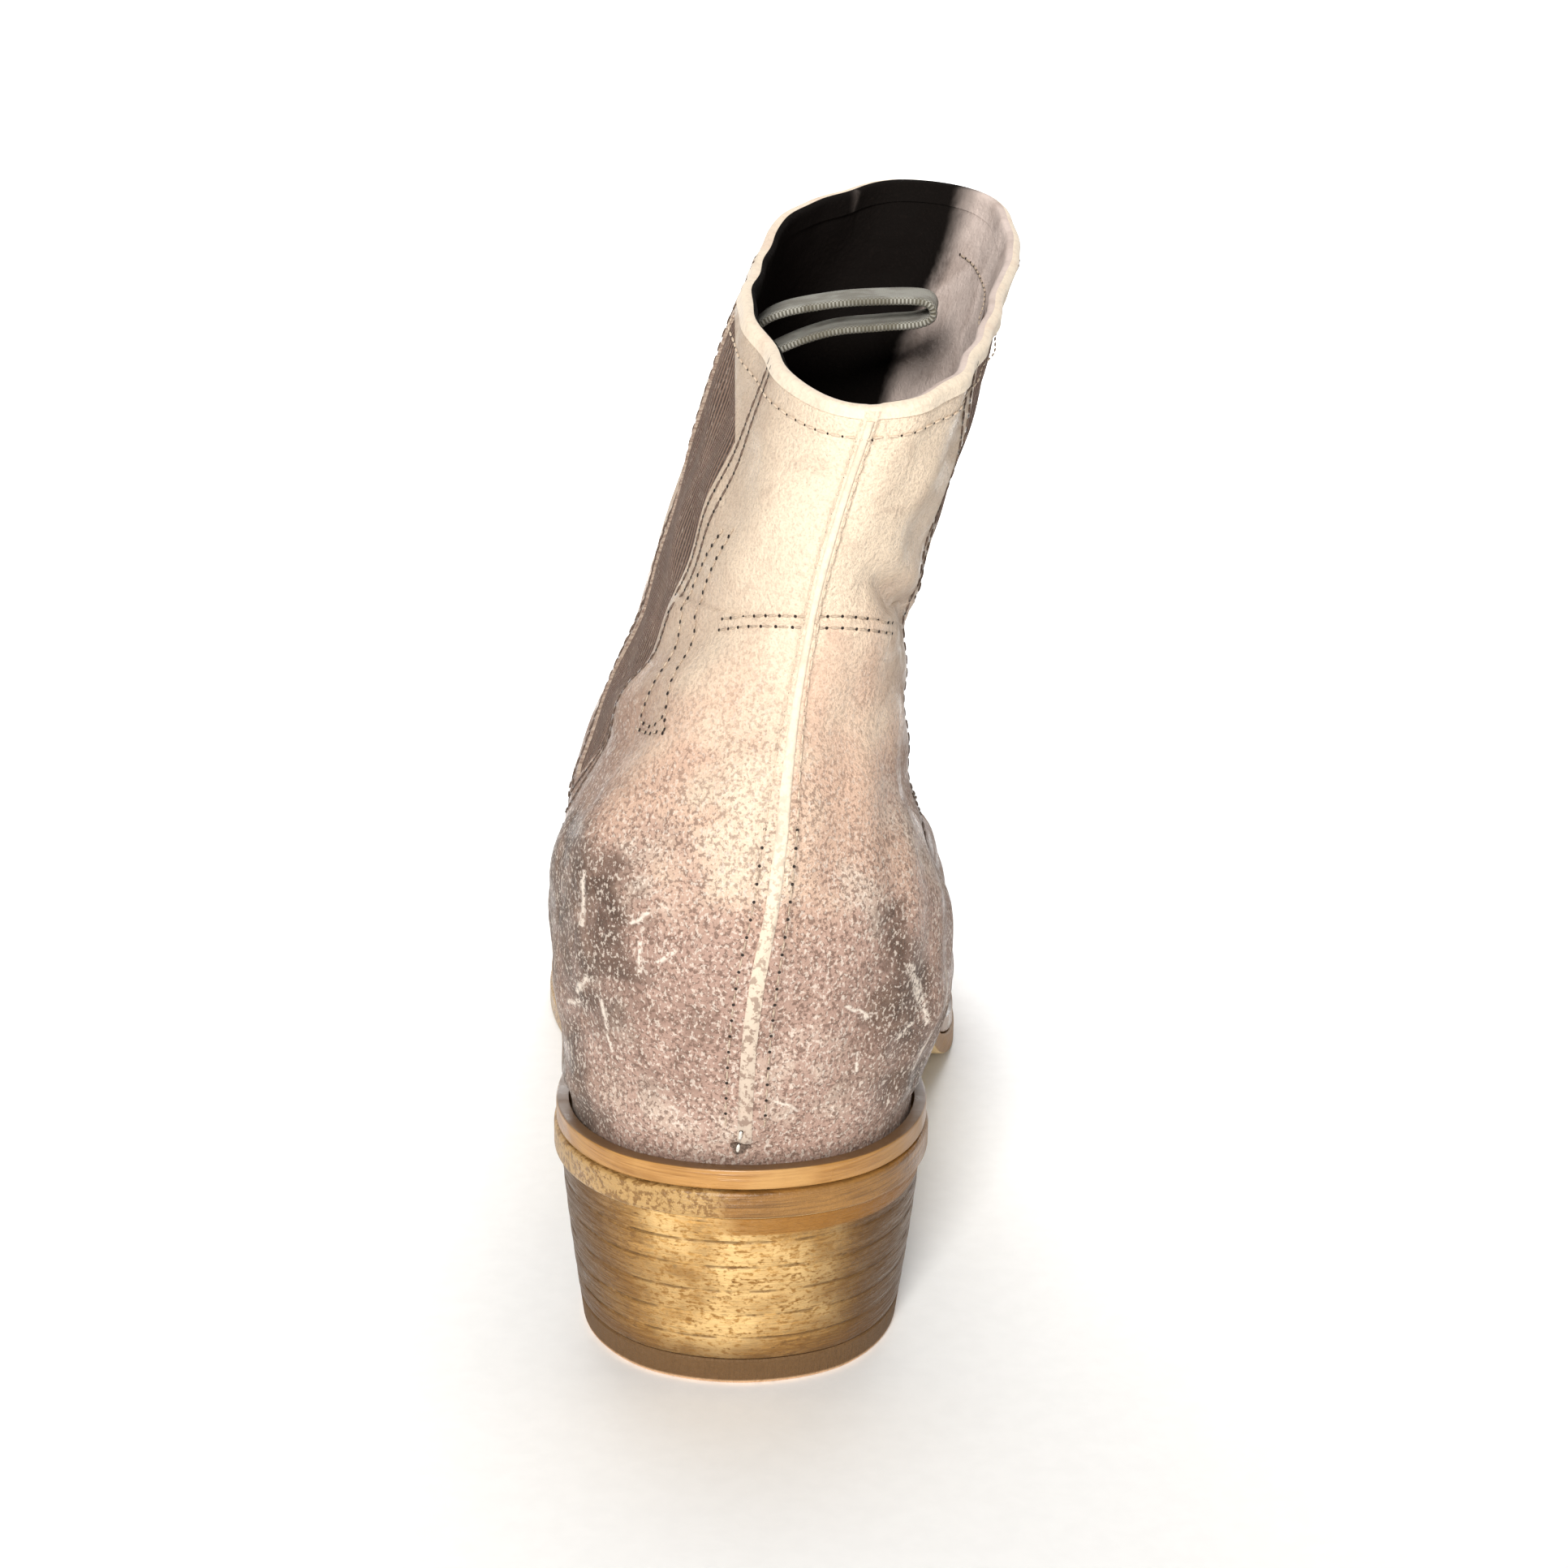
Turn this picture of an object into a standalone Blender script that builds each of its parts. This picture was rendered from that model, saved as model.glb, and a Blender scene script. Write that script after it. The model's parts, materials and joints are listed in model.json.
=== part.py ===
"""Right western ankle boot with side gores, a stacked heel and a leather sole.

Frame: +Y to the toe, +X to the outer (lateral) side, +Z up, floor at Z = 0.
The origin is the centre of the heel's flat underside. Lengths are in metres.
"""
import math

import bmesh
import bpy
import numpy as np

# Sole
SOLE_LENGTH = 0.252
BALL_WIDTH = 0.089
SEAT_WIDTH = 0.062
OUTSOLE_THICK = 0.0045
TOE_SPRING = 0.0085
TOE_DRIFT = 0.003
SEAT_DROP = 0.005

# Heel
HEEL_HEIGHT = 0.0335
HEEL_FOOT_LENGTH = 0.060
HEEL_FOOT_WIDTH = 0.053
HEEL_BACK_SLOPE = 0.009
HEEL_SETBACK = 0.0012
TOP_LIFT_THICK = 0.005
HEEL_CURVE = 1.25
BREAST_SKEW = 0.05
HEEL_LIFTS = 6

# Welt and insole
WELT_HEIGHT = 0.0034
WELT_SETBACK = 0.0004
WELT_CLEARANCE = 0.0005
FEATHER_SEAT = 0.0031
FEATHER_TOE = 0.0045
INSOLE_THICK = 0.003

# Upper
SHAFT_HEIGHT = 0.156
COLLAR_RISE = 0.027
ANKLE_WIDTH = 0.046
WALL = 0.002
COUNTER_LAP = 0.0006
SEAM_RIDGE = 0.0007
SEAM_RIDGE_WIDTH = 0.0045

# Side gores
GORE_TOP_WIDTH = 0.040
GORE_TIP_RADIUS = 0.0105
GORE_TIP_HEIGHT = 0.087
GORE_Y = 0.012
GORE_LEAN = -0.012
GORE_RECESS = 0.0005
GORE_THICK = 0.0014

# Pull loop
LOOP_WIDTH = 0.011
LOOP_THICK = 0.0013
LOOP_REACH = 0.026
LOOP_LEVEL = 0.97
LOOP_TURN = 1.85
LOOP_SEAT_HOLLOW = 0.0005

# Clearances and rounded edges
GAP = 0.0003
SOLE_EDGE = 0.0007
WELT_EDGE = 0.0006
LIFT_EDGE = 0.0004

# Stations along the boot, as shares of its length
BREAST_AT = 0.30
ARCH_START = 0.325
TREAD_START = 0.61
TREAD_END = 0.735

BACK = -(HEEL_FOOT_LENGTH / 2 + HEEL_BACK_SLOPE)
SOLE_STATIONS = 48
WALL_STATIONS = 36

# Half widths of the sole: along, outer side, inner side.
# Along is a share of SOLE_LENGTH, the widths of SEAT_WIDTH or BALL_WIDTH.
SEAT_ROWS = [
    (0.03, 0.325, 0.325),
    (0.12, 0.495, 0.495),
    (0.21, 0.495, 0.478),
    (0.30, 0.505, 0.415),
]
BALL_ROWS = [
    (0.40, 0.405, 0.243),
    (0.50, 0.475, 0.305),
    (0.60, 0.538, 0.412),
    (0.66, 0.543, 0.452),
    (0.74, 0.505, 0.462),
    (0.82, 0.430, 0.412),
    (0.90, 0.335, 0.322),
    (0.96, 0.240, 0.200),
]

# Centre line of the pull loop: inwards from the wall and up, shares of LOOP_REACH
LOOP_PATH = [
    (0.00, -0.75), (0.00, -0.32), (0.08, -0.04), (0.40, 0.18), (0.75, 0.34), (0.97, 0.41),
    (1.04, 0.35), (0.97, 0.27), (0.76, 0.17), (0.45, 0.01), (0.17, -0.24), (0.08, -0.45),
    (0.08, -0.75),
]

# Rings of the upper, from the feather line to the collar.
# level: place in the wall. sole: share by which the ring follows the sole.
# back_y, front_y: shares of SOLE_LENGTH from the heel. back_z, front_z: shares of
# SHAFT_HEIGHT. out_1 to out_9, in_1 to in_9: half widths at 10, 30, 50, 70 and 90 %
# of the ring, shares of BALL_WIDTH in the foot and of ANKLE_WIDTH in the shaft.
# shift_b, shift_f: sideways shift of the ring's back and front, shares of ANKLE_WIDTH.
# Columns: level, sole, back_y, back_z, front_y, front_z,
#   out_1, out_3, out_5, out_7, out_9, in_1, in_3, in_5, in_7, in_9, shift_b, shift_f
FOOT_RINGS = [
    (0.00, 1.00, 0.012, 0.252, 0.979, 0.083,
     0.32, 0.33, 0.42, 0.50, 0.33, 0.32, 0.30, 0.33, 0.44, 0.33, 0.00, 0.06),
    (0.05, 0.84, 0.003, 0.295, 0.986, 0.118,
     0.34, 0.34, 0.42, 0.53, 0.34, 0.34, 0.32, 0.36, 0.48, 0.34, 0.00, 0.06),
    (0.14, 0.50, -0.005, 0.396, 0.977, 0.179,
     0.405, 0.395, 0.41, 0.52, 0.34, 0.355, 0.345, 0.375, 0.475, 0.33, 0.02, 0.06),
    (0.21, 0.29, -0.006, 0.462, 0.954, 0.219,
     0.363, 0.372, 0.395, 0.465, 0.30, 0.360, 0.365, 0.385, 0.44, 0.29, 0.045, 0.06),
    (0.30, 0.13, -0.003, 0.528, 0.886, 0.269,
     0.300, 0.324, 0.352, 0.375, 0.215, 0.355, 0.376, 0.400, 0.405, 0.225, 0.085, 0.055),
    (0.41, 0.03, 0.006, 0.598, 0.765, 0.335,
     0.227, 0.278, 0.294, 0.280, 0.143, 0.329, 0.380, 0.382, 0.330, 0.155, 0.110, 0.055),
]
SHAFT_RINGS = [
    (0.53, 0.00, 0.017, 0.660, 0.636, 0.430,
     0.359, 0.463, 0.480, 0.450, 0.222, 0.500, 0.683, 0.683, 0.572, 0.278, 0.126, 0.065),
    (0.65, 0.00, 0.025, 0.721, 0.520, 0.577,
     0.302, 0.439, 0.446, 0.415, 0.222, 0.372, 0.576, 0.624, 0.563, 0.289, 0.150, 0.087),
    (0.76, 0.00, 0.028, 0.790, 0.455, 0.737,
     0.252, 0.400, 0.417, 0.391, 0.235, 0.280, 0.448, 0.522, 0.489, 0.275, 0.187, 0.152),
    (0.88, 0.00, 0.024, 0.880, 0.418, 0.950,
     0.255, 0.400, 0.460, 0.455, 0.280, 0.270, 0.424, 0.480, 0.460, 0.290, 0.250, 0.315),
    (1.00, 0.00, 0.016, 1.000, 0.402, 1.000,
     0.260, 0.370, 0.430, 0.465, 0.370, 0.270, 0.413, 0.478, 0.457, 0.304, 0.370, 0.580),
]
RING_STATIONS = (0.0, 0.1, 0.3, 0.5, 0.7, 0.9, 1.0)

# Seams of the upper, as levels of the wall or turns round the ring
SEAM_LEVEL = 0.775
SIDE_SEAM_TURN = 1.02
STEP_TURN = 0.006
STEP_LEVEL = 0.002
STEP_FOOT = (0.040, 0.060)

# Span of each gore's panel before it is cut to its outline, and the cutters' near faces
GORE_TURNS = (0.45, 1.75)
GORE_LEVELS = (0.40, 0.9985)
GORE_CUT_FROM = {1: 0.012, -1: -0.002}

# Start and end of the back ridge's fall, shares of its half width
RIDGE_FADE = (0.55, 1.1)

# Turns over which the toe's feather line draws in, and the toe spring's curve
FEATHER_TURNS = (0.9, 1.9)
SPRING_CURVE = 1.8

LEATHER = ("sole_leather", (0.75, 0.55, 0.30), 0.55)
STACK = ("stacked_leather", (0.50, 0.30, 0.11), 0.55)
RUBBER = ("top_lift_rubber", (0.66, 0.42, 0.26), 0.75)
SUEDE = ("upper_suede", (0.66, 0.48, 0.38), 0.9)
ELASTIC = ("gore_elastic", (0.09, 0.07, 0.06), 0.85)
LINING = ("insole_leather", (0.72, 0.60, 0.50), 0.7)
WEBBING = ("loop_webbing", (0.55, 0.53, 0.47), 0.85)


def smooth(x, knots, values):
    """Cubic curve through values at knots, for each x; values may be rows."""
    knots = np.asarray(knots, float)
    values = np.asarray(values, float)
    slopes = np.gradient(values, knots, axis=0)
    x = np.asarray(x, float)
    i = np.clip(np.searchsorted(knots, x, side="right") - 1, 0, len(knots) - 2)
    step = knots[i + 1] - knots[i]
    t = (x - knots[i]) / step
    if values.ndim > 1:
        step = step[..., None]
        t = t[..., None]
    return ((2 * t**3 - 3 * t**2 + 1) * values[i] + (t**3 - 2 * t**2 + t) * step * slopes[i]
            + (3 * t**2 - 2 * t**3) * values[i + 1] + (t**3 - t**2) * step * slopes[i + 1])


def ramp(x, start, end):
    """0 before start and 1 after end, with a soft rise between."""
    t = np.clip((x - start) / (end - start), 0.0, 1.0)
    return t * t * (3 - 2 * t)


def sole_bottom(y):
    """Height of the outsole's underside: seat, arch, flat tread and toe spring."""
    along = (np.asarray(y, float) - BACK) / SOLE_LENGTH
    slope = -SEAT_DROP / BREAST_AT
    seat = HEEL_HEIGHT + slope * along
    run = TREAD_START - ARCH_START
    t = np.clip((along - ARCH_START) / run, 0.0, 1.0)
    fall = np.where(t < 0.5, 1 - 2 * t**2, 2 * (1 - t)**2)
    arch = (HEEL_HEIGHT + slope * ARCH_START) * fall + slope * run * t * (1 - t)**2
    rise = np.clip((along - TREAD_END) / (1 - TREAD_END), 0.0, None)
    return np.where(along < ARCH_START, seat, arch + TOE_SPRING * rise**SPRING_CURVE)


def sole_top(y):
    return sole_bottom(y) + OUTSOLE_THICK


def turns(half_stations):
    """Turn angles round a closed ring: 0 at the back, pi at the toe."""
    return np.linspace(0.0, 2 * math.pi, 2 * half_stations, endpoint=False)


def mirrored(turn):
    """Angle from the back, 0 to pi, and the side: 1 outer, -1 inner."""
    turn = np.mod(turn, 2 * math.pi)
    outer = turn <= math.pi
    return np.where(outer, turn, 2 * math.pi - turn), np.where(outer, 1.0, -1.0)


def sole_outline(turn, inset=0.0):
    """Plan of the sole at each turn, moved inwards by inset."""
    rows = [(0.0, 0.0, 0.0)]
    rows += [(a, o * SEAT_WIDTH, i * SEAT_WIDTH) for a, o, i in SEAT_ROWS]
    rows += [(a, o * BALL_WIDTH, i * BALL_WIDTH) for a, o, i in BALL_ROWS]
    rows += [(1.0, TOE_DRIFT, -TOE_DRIFT)]
    table = np.array(rows)
    knots = np.arccos(1 - 2 * table[:, 0])

    def plain(t):
        angle, side = mirrored(t)
        both = smooth(angle, knots, table[:, 1:])
        x = np.where(side > 0, both[..., 0], -both[..., 1])
        y = BACK + SOLE_LENGTH * (1 - np.cos(angle)) / 2
        return np.stack([x, y], axis=-1)

    turn = np.asarray(turn, float)
    along = plain(turn + 0.01) - plain(turn - 0.01)
    along /= np.linalg.norm(along, axis=-1, keepdims=True)
    inward = np.stack([-along[..., 1], along[..., 0]], axis=-1)
    return plain(turn) + inward * np.asarray(inset)[..., None]


def feather_inset(turn):
    """Distance from the sole's edge to the foot of the upper's outer face."""
    angle, _ = mirrored(turn)
    return FEATHER_SEAT + (FEATHER_TOE - FEATHER_SEAT) * ramp(angle, *FEATHER_TURNS)


def ring_table():
    """The ring rows in metres."""
    rows = []
    for ring in FOOT_RINGS + SHAFT_RINGS:
        width = BALL_WIDTH if ring in FOOT_RINGS else ANKLE_WIDTH
        row = list(ring)
        row[2] = BACK + ring[2] * SOLE_LENGTH
        row[4] = BACK + ring[4] * SOLE_LENGTH
        row[3] = ring[3] * SHAFT_HEIGHT
        row[5] = ring[5] * SHAFT_HEIGHT
        row[6:16] = [share * width for share in ring[6:16]]
        row[16:] = [share * ANKLE_WIDTH for share in ring[16:]]
        rows.append(row)
    rows[0][3] = sole_top(BACK) + GAP
    rows[0][5] = sole_top(BACK + SOLE_LENGTH) + GAP
    rows[-1][5] += COLLAR_RISE
    return np.array(rows)


RINGS = ring_table()


def upper_base(turn, level):
    """Outer face of the upper without its steps."""
    turn, level = np.broadcast_arrays(np.asarray(turn, float), np.asarray(level, float))
    angle, side = mirrored(turn)
    row = smooth(level, RINGS[:, 0], RINGS[:, 1:])
    follow, back_y, back_z, front_y, front_z = (row[..., i] for i in range(5))
    knots = np.arccos(1 - 2 * np.array(RING_STATIONS))
    share = (1 - np.cos(angle)) / 2
    zero = np.zeros_like(follow)
    outer = [zero] + [row[..., i] for i in range(5, 10)] + [zero]
    inner = [zero] + [row[..., i] for i in range(10, 15)] + [zero]
    half = np.where(side > 0, station_curve(angle, knots, outer),
                    station_curve(angle, knots, inner))
    x = side * half + row[..., 15] + share * (row[..., 16] - row[..., 15])
    y = back_y + share * (front_y - back_y)
    feather = sole_outline(turn, feather_inset(turn))
    x = follow * feather[..., 0] + (1 - follow) * x
    y = follow * feather[..., 1] + (1 - follow) * y
    chord = sole_top(BACK) + share * (sole_top(BACK + SOLE_LENGTH) - sole_top(BACK))
    z = back_z + share * (front_z - back_z) + follow * (sole_top(y) - chord)
    return np.stack([x, y, z], axis=-1)


def station_curve(angle, knots, columns):
    """Cubic curve across the stations, where each point has its own row of values."""
    values = np.stack(columns, axis=-1)
    slopes = np.gradient(values, knots, axis=-1)
    i = np.clip(np.searchsorted(knots, angle, side="right") - 1, 0, len(knots) - 2)
    step = knots[i + 1] - knots[i]
    t = (angle - knots[i]) / step

    def pick(array, j):
        return np.take_along_axis(array, j[..., None], axis=-1)[..., 0]

    return ((2 * t**3 - 3 * t**2 + 1) * pick(values, i)
            + (t**3 - 2 * t**2 + t) * step * pick(slopes, i)
            + (3 * t**2 - 2 * t**3) * pick(values, i + 1)
            + (t**3 - t**2) * step * pick(slopes, i + 1))


def upper_normal(turn, level):
    """Outward normal of the upper's face."""
    low = np.clip(np.asarray(level, float) - 0.004, 0.0, 1.0)
    high = np.clip(np.asarray(level, float) + 0.004, 0.0, 1.0)
    around = upper_base(turn + 0.01, level) - upper_base(turn - 0.01, level)
    up = upper_base(turn, high) - upper_base(turn, low)
    normal = np.cross(around, up)
    return normal / np.linalg.norm(normal, axis=-1, keepdims=True)


def upper_steps(turn, level):
    """Raised parts of the wall above the welt: the counter's lap and the back seam."""
    angle, _ = mirrored(turn)
    counter = 1 - ramp(angle, SIDE_SEAM_TURN - STEP_TURN, SIDE_SEAM_TURN + STEP_TURN)
    below = 1 - ramp(level, SEAM_LEVEL - STEP_LEVEL, SEAM_LEVEL + STEP_LEVEL)
    ridge = 1 - ramp(angle, *seam_ridge_turns())
    return (COUNTER_LAP * counter * below + SEAM_RIDGE * ridge) * ramp(level, *STEP_FOOT)


def seam_ridge_turns():
    """Turns where the back seam's ridge starts and ends to fall."""
    half = SEAM_RIDGE_WIDTH / SEAT_WIDTH
    return half * RIDGE_FADE[0], half * RIDGE_FADE[1]


def upper_face(turn, level, depth=0.0):
    """Face of the upper, depth metres inside the outer one."""
    turn, level = np.broadcast_arrays(np.asarray(turn, float), np.asarray(level, float))
    normal = upper_normal(turn, level)
    flat = 1 - ramp(level, 0.0, 0.03)
    normal[..., 2] *= 1 - flat
    normal /= np.linalg.norm(normal, axis=-1, keepdims=True)
    out = upper_steps(turn, level) if depth == 0.0 else -depth
    return upper_base(turn, level) + normal * np.asarray(out)[..., None]


def level_above_sole(turn, height):
    """Level at which the outer face stands height above the outsole."""
    levels = np.linspace(0.0, 0.2, 41)
    points = upper_base(np.asarray(turn)[None, :], levels[:, None])
    rise = points[..., 2] - sole_top(points[..., 1])
    return np.array([np.interp(height, rise[:, i], levels) for i in range(len(turn))])


def new_object(name, verts, faces, finish, smooth_angle=35.0):
    """Object from points and faces, closed and with its faces turned outwards."""
    mesh = bpy.data.meshes.new(name)
    mesh.from_pydata([tuple(map(float, v)) for v in verts], [], faces)
    work = bmesh.new()
    work.from_mesh(mesh)
    bmesh.ops.recalc_face_normals(work, faces=work.faces)
    work.to_mesh(mesh)
    work.free()
    mesh.shade_smooth()
    mesh.set_sharp_from_angle(angle=math.radians(smooth_angle))
    obj = bpy.data.objects.new(name, mesh)
    bpy.context.scene.collection.objects.link(obj)
    obj.data.materials.append(material(*finish))
    return obj


def material(name, colour, roughness):
    """Plain surface of one colour."""
    found = bpy.data.materials.get(name)
    if found:
        return found
    made = bpy.data.materials.new(name)
    made.use_nodes = True
    shader = made.node_tree.nodes["Principled BSDF"]
    shader.inputs["Base Color"].default_value = (*colour, 1.0)
    shader.inputs["Roughness"].default_value = roughness
    shader.inputs["Metallic"].default_value = 0.0
    return made


def ring_faces(count, low, high):
    """Quads between two closed rings of the same count."""
    return [(low + i, low + (i + 1) % count, high + (i + 1) % count, high + i)
            for i in range(count)]


def strip_cap(count, start):
    """Flat-across cap of a closed ring whose points mirror from back to toe."""
    half = count // 2
    faces = [(start, start + 1, start + count - 1)]
    faces += [(start + i, start + i + 1, start + count - i - 1, start + count - i)
              for i in range(1, half - 1)]
    faces.append((start + half - 1, start + half, start + half + 1))
    return faces


def slab(name, rings, finish):
    """Solid between closed rings, capped below and above."""
    count = len(rings[0])
    faces = strip_cap(count, 0) + strip_cap(count, count * (len(rings) - 1))
    for i in range(len(rings) - 1):
        faces += ring_faces(count, i * count, (i + 1) * count)
    return new_object(name, np.concatenate(rings), faces, finish)


def hoop(name, rings, finish):
    """Ring-shaped solid: the rings go once round its cross-section."""
    count = len(rings[0])
    faces = []
    for i in range(len(rings)):
        faces += ring_faces(count, i * count, (i + 1) % len(rings) * count)
    return new_object(name, np.concatenate(rings), faces, finish)


def lifted(plan, height):
    """Points over a plan, at height(y)."""
    return np.column_stack([plan, height(plan[:, 1])])


def make_outsole():
    turn = turns(SOLE_STATIONS)
    rings = [
        lifted(sole_outline(turn, SOLE_EDGE), sole_bottom),
        lifted(sole_outline(turn), lambda y: sole_bottom(y) + SOLE_EDGE),
        lifted(sole_outline(turn), lambda y: sole_top(y) - SOLE_EDGE),
        lifted(sole_outline(turn, SOLE_EDGE), sole_top),
    ]
    return slab("outsole", rings, LEATHER)


def make_welt():
    turn = turns(SOLE_STATIONS)
    low = level_above_sole(turn, GAP)
    high = level_above_sole(turn, GAP + WELT_HEIGHT)
    inner_low = upper_face(turn, low, -WELT_CLEARANCE)
    inner_high = upper_face(turn, high, -WELT_CLEARANCE)
    outer = sole_outline(turn, WELT_SETBACK)
    outer_in = sole_outline(turn, WELT_SETBACK + WELT_EDGE)
    rings = [
        lifted(outer_in, lambda y: sole_top(y) + GAP),
        lifted(outer, lambda y: sole_top(y) + GAP + WELT_EDGE),
        lifted(outer, lambda y: sole_top(y) + GAP + WELT_HEIGHT - WELT_EDGE),
        lifted(outer_in, lambda y: sole_top(y) + GAP + WELT_HEIGHT),
        np.column_stack([inner_high[:, :2], sole_top(inner_high[:, 1]) + GAP + WELT_HEIGHT]),
        np.column_stack([inner_low[:, :2], sole_top(inner_low[:, 1]) + GAP]),
    ]
    return hoop("welt", rings, LEATHER)


def on_sole_stations(plan):
    """The same closed plan with its points at the stations of the sole."""
    back, toe = plan[:, 1].argmin(), plan[:, 1].argmax()
    outer, inner = plan[back:toe + 1], np.vstack([plan[toe:], plan[:back + 1]])[::-1]
    stations = sole_outline(turns(SOLE_STATIONS)[1:SOLE_STATIONS])[:, 1]
    y = stations[(stations > plan[back, 1] + GAP) & (stations < plan[toe, 1] - GAP)]
    side_out = np.column_stack([np.interp(y, outer[:, 1], outer[:, 0]), y])
    side_in = np.column_stack([np.interp(y, inner[:, 1], inner[:, 0]), y])
    return np.vstack([plan[back], side_out, plan[toe], side_in[::-1]])


def make_insole():
    turn = turns(4 * SOLE_STATIONS)
    level = level_above_sole(turn, GAP)
    plan = on_sole_stations(upper_face(turn, level, WALL + GAP)[:, :2])
    rings = [lifted(plan, lambda y: sole_top(y) + GAP),
             lifted(plan, lambda y: sole_top(y) + GAP + INSOLE_THICK)]
    return slab("insole", rings, LINING)


def heel_plan(drop, inset=0.0):
    """Plan of the heel at drop, 0 at the seat and 1 at the floor."""
    breast = math.acos(1 - 2 * BREAST_AT)
    outer = np.linspace(0.0, breast - BREAST_SKEW / 2, 13)
    inner = np.linspace(0.0, breast + BREAST_SKEW / 2, 13)[:0:-1]
    turn = np.concatenate([outer, -inner])
    plan = sole_outline(turn, HEEL_SETBACK)
    half = (plan[:, 0].max() - plan[:, 0].min()) / 2
    share = drop**HEEL_CURVE
    narrow = 1 + share * (HEEL_FOOT_WIDTH / 2 / half - 1) - inset / half
    length = plan[:, 1].max() - plan[:, 1].min()
    short = 1 + share * (HEEL_FOOT_LENGTH / length - 1) - 2 * inset / length
    plan[:, 0] *= narrow
    plan[:, 1] = BACK + HEEL_SETBACK + (plan[:, 1] - BACK - HEEL_SETBACK) * short
    plan[:, 1] += share * (HEEL_BACK_SLOPE - HEEL_SETBACK) + inset
    return plan


def heel_slab(name, low, high, finish):
    """Lift between two heights, given as shares of the heel's height."""
    edge = LIFT_EDGE / HEEL_HEIGHT
    heights = [low, low + edge, high - edge, high]
    insets = [LIFT_EDGE, 0.0, 0.0, LIFT_EDGE]
    rings = []
    for share, inset in zip(heights, insets):
        plan = heel_plan(1 - share, inset)
        flat = TOP_LIFT_THICK / HEEL_HEIGHT
        tilt = np.clip((share - flat) / (1 - flat), 0.0, 1.0)
        z = share * HEEL_HEIGHT + tilt * (sole_bottom(plan[:, 1]) - HEEL_HEIGHT)
        rings.append(np.column_stack([plan, z]))
    count = len(rings[0])
    faces = [tuple(range(count)), tuple(range(3 * count, 4 * count))]
    for i in range(3):
        faces += ring_faces(count, i * count, (i + 1) * count)
    return new_object(name, np.concatenate(rings), faces, finish)


def make_heel():
    gap = GAP / HEEL_HEIGHT
    flat = TOP_LIFT_THICK / HEEL_HEIGHT
    pitch = (1 - flat) / HEEL_LIFTS
    heel_slab("heel_top_lift", 0.0, flat, RUBBER)
    for i in range(HEEL_LIFTS):
        low = flat + i * pitch + gap
        high = 1 - gap if i == HEEL_LIFTS - 1 else flat + (i + 1) * pitch
        heel_slab(f"heel_lift_{i + 1}", low, high, STACK)


def upper_levels():
    """Levels of the wall's rows, with a pair at the counter's seam."""
    rows = list(np.linspace(0.0, 0.14, 7)) + list(np.linspace(0.14, 1.0, 17)[1:])
    rows = [v for v in rows if abs(v - SEAM_LEVEL) > 0.02]
    rows += [SEAM_LEVEL - STEP_LEVEL, SEAM_LEVEL + STEP_LEVEL]
    return np.array(sorted(rows))


def upper_turns():
    """Turns of the wall's columns, with pairs at the side seams and the back ridge."""
    marks = [*seam_ridge_turns(), SIDE_SEAM_TURN - STEP_TURN, SIDE_SEAM_TURN + STEP_TURN]
    half = [t for t in np.linspace(0.0, math.pi, WALL_STATIONS + 1)
            if all(abs(t - m) > 0.04 for m in marks)]
    half = sorted(half + marks)
    return np.array(half + [2 * math.pi - t for t in half[-2:0:-1]])


def make_shell():
    """The whole wall of the upper, before the gores are cut out."""
    turn = upper_turns()
    rings = [upper_face(turn, level) for level in upper_levels()]
    inner = [upper_face(turn, level, WALL) for level in upper_levels()[::-1]]
    return hoop("upper", rings + inner, SUEDE)


def gore_prism(name, side, inset):
    """Side block with the gore's U outline, smaller by inset."""
    radius = GORE_TIP_RADIUS - inset
    centre_z = GORE_TIP_HEIGHT + GORE_TIP_RADIUS
    top_z = SHAFT_HEIGHT + COLLAR_RISE
    half_top = GORE_TOP_WIDTH / 2 - inset
    outline = [(GORE_Y + GORE_LEAN + half_top, top_z)]
    outline += [(GORE_Y + radius * math.cos(a), centre_z - radius * math.sin(a))
                for a in np.linspace(0.0, math.pi, 11)]
    outline += [(GORE_Y + GORE_LEAN - half_top, top_z)]
    near = GORE_CUT_FROM[side]
    far = side * BALL_WIDTH
    count = len(outline)
    verts = [(near, y, z) for y, z in outline] + [(far, y, z) for y, z in outline]
    faces = [tuple(range(count)), tuple(range(count, 2 * count))]
    faces += ring_faces(count, 0, count)
    prism = new_object(name, verts, faces, SUEDE)
    prism.hide_render = True
    prism.display_type = "WIRE"
    return prism


def boolean(obj, cutter, operation):
    cut = obj.modifiers.new(operation.lower(), "BOOLEAN")
    cut.operation = operation
    cut.solver = "EXACT"
    cut.object = cutter


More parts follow.
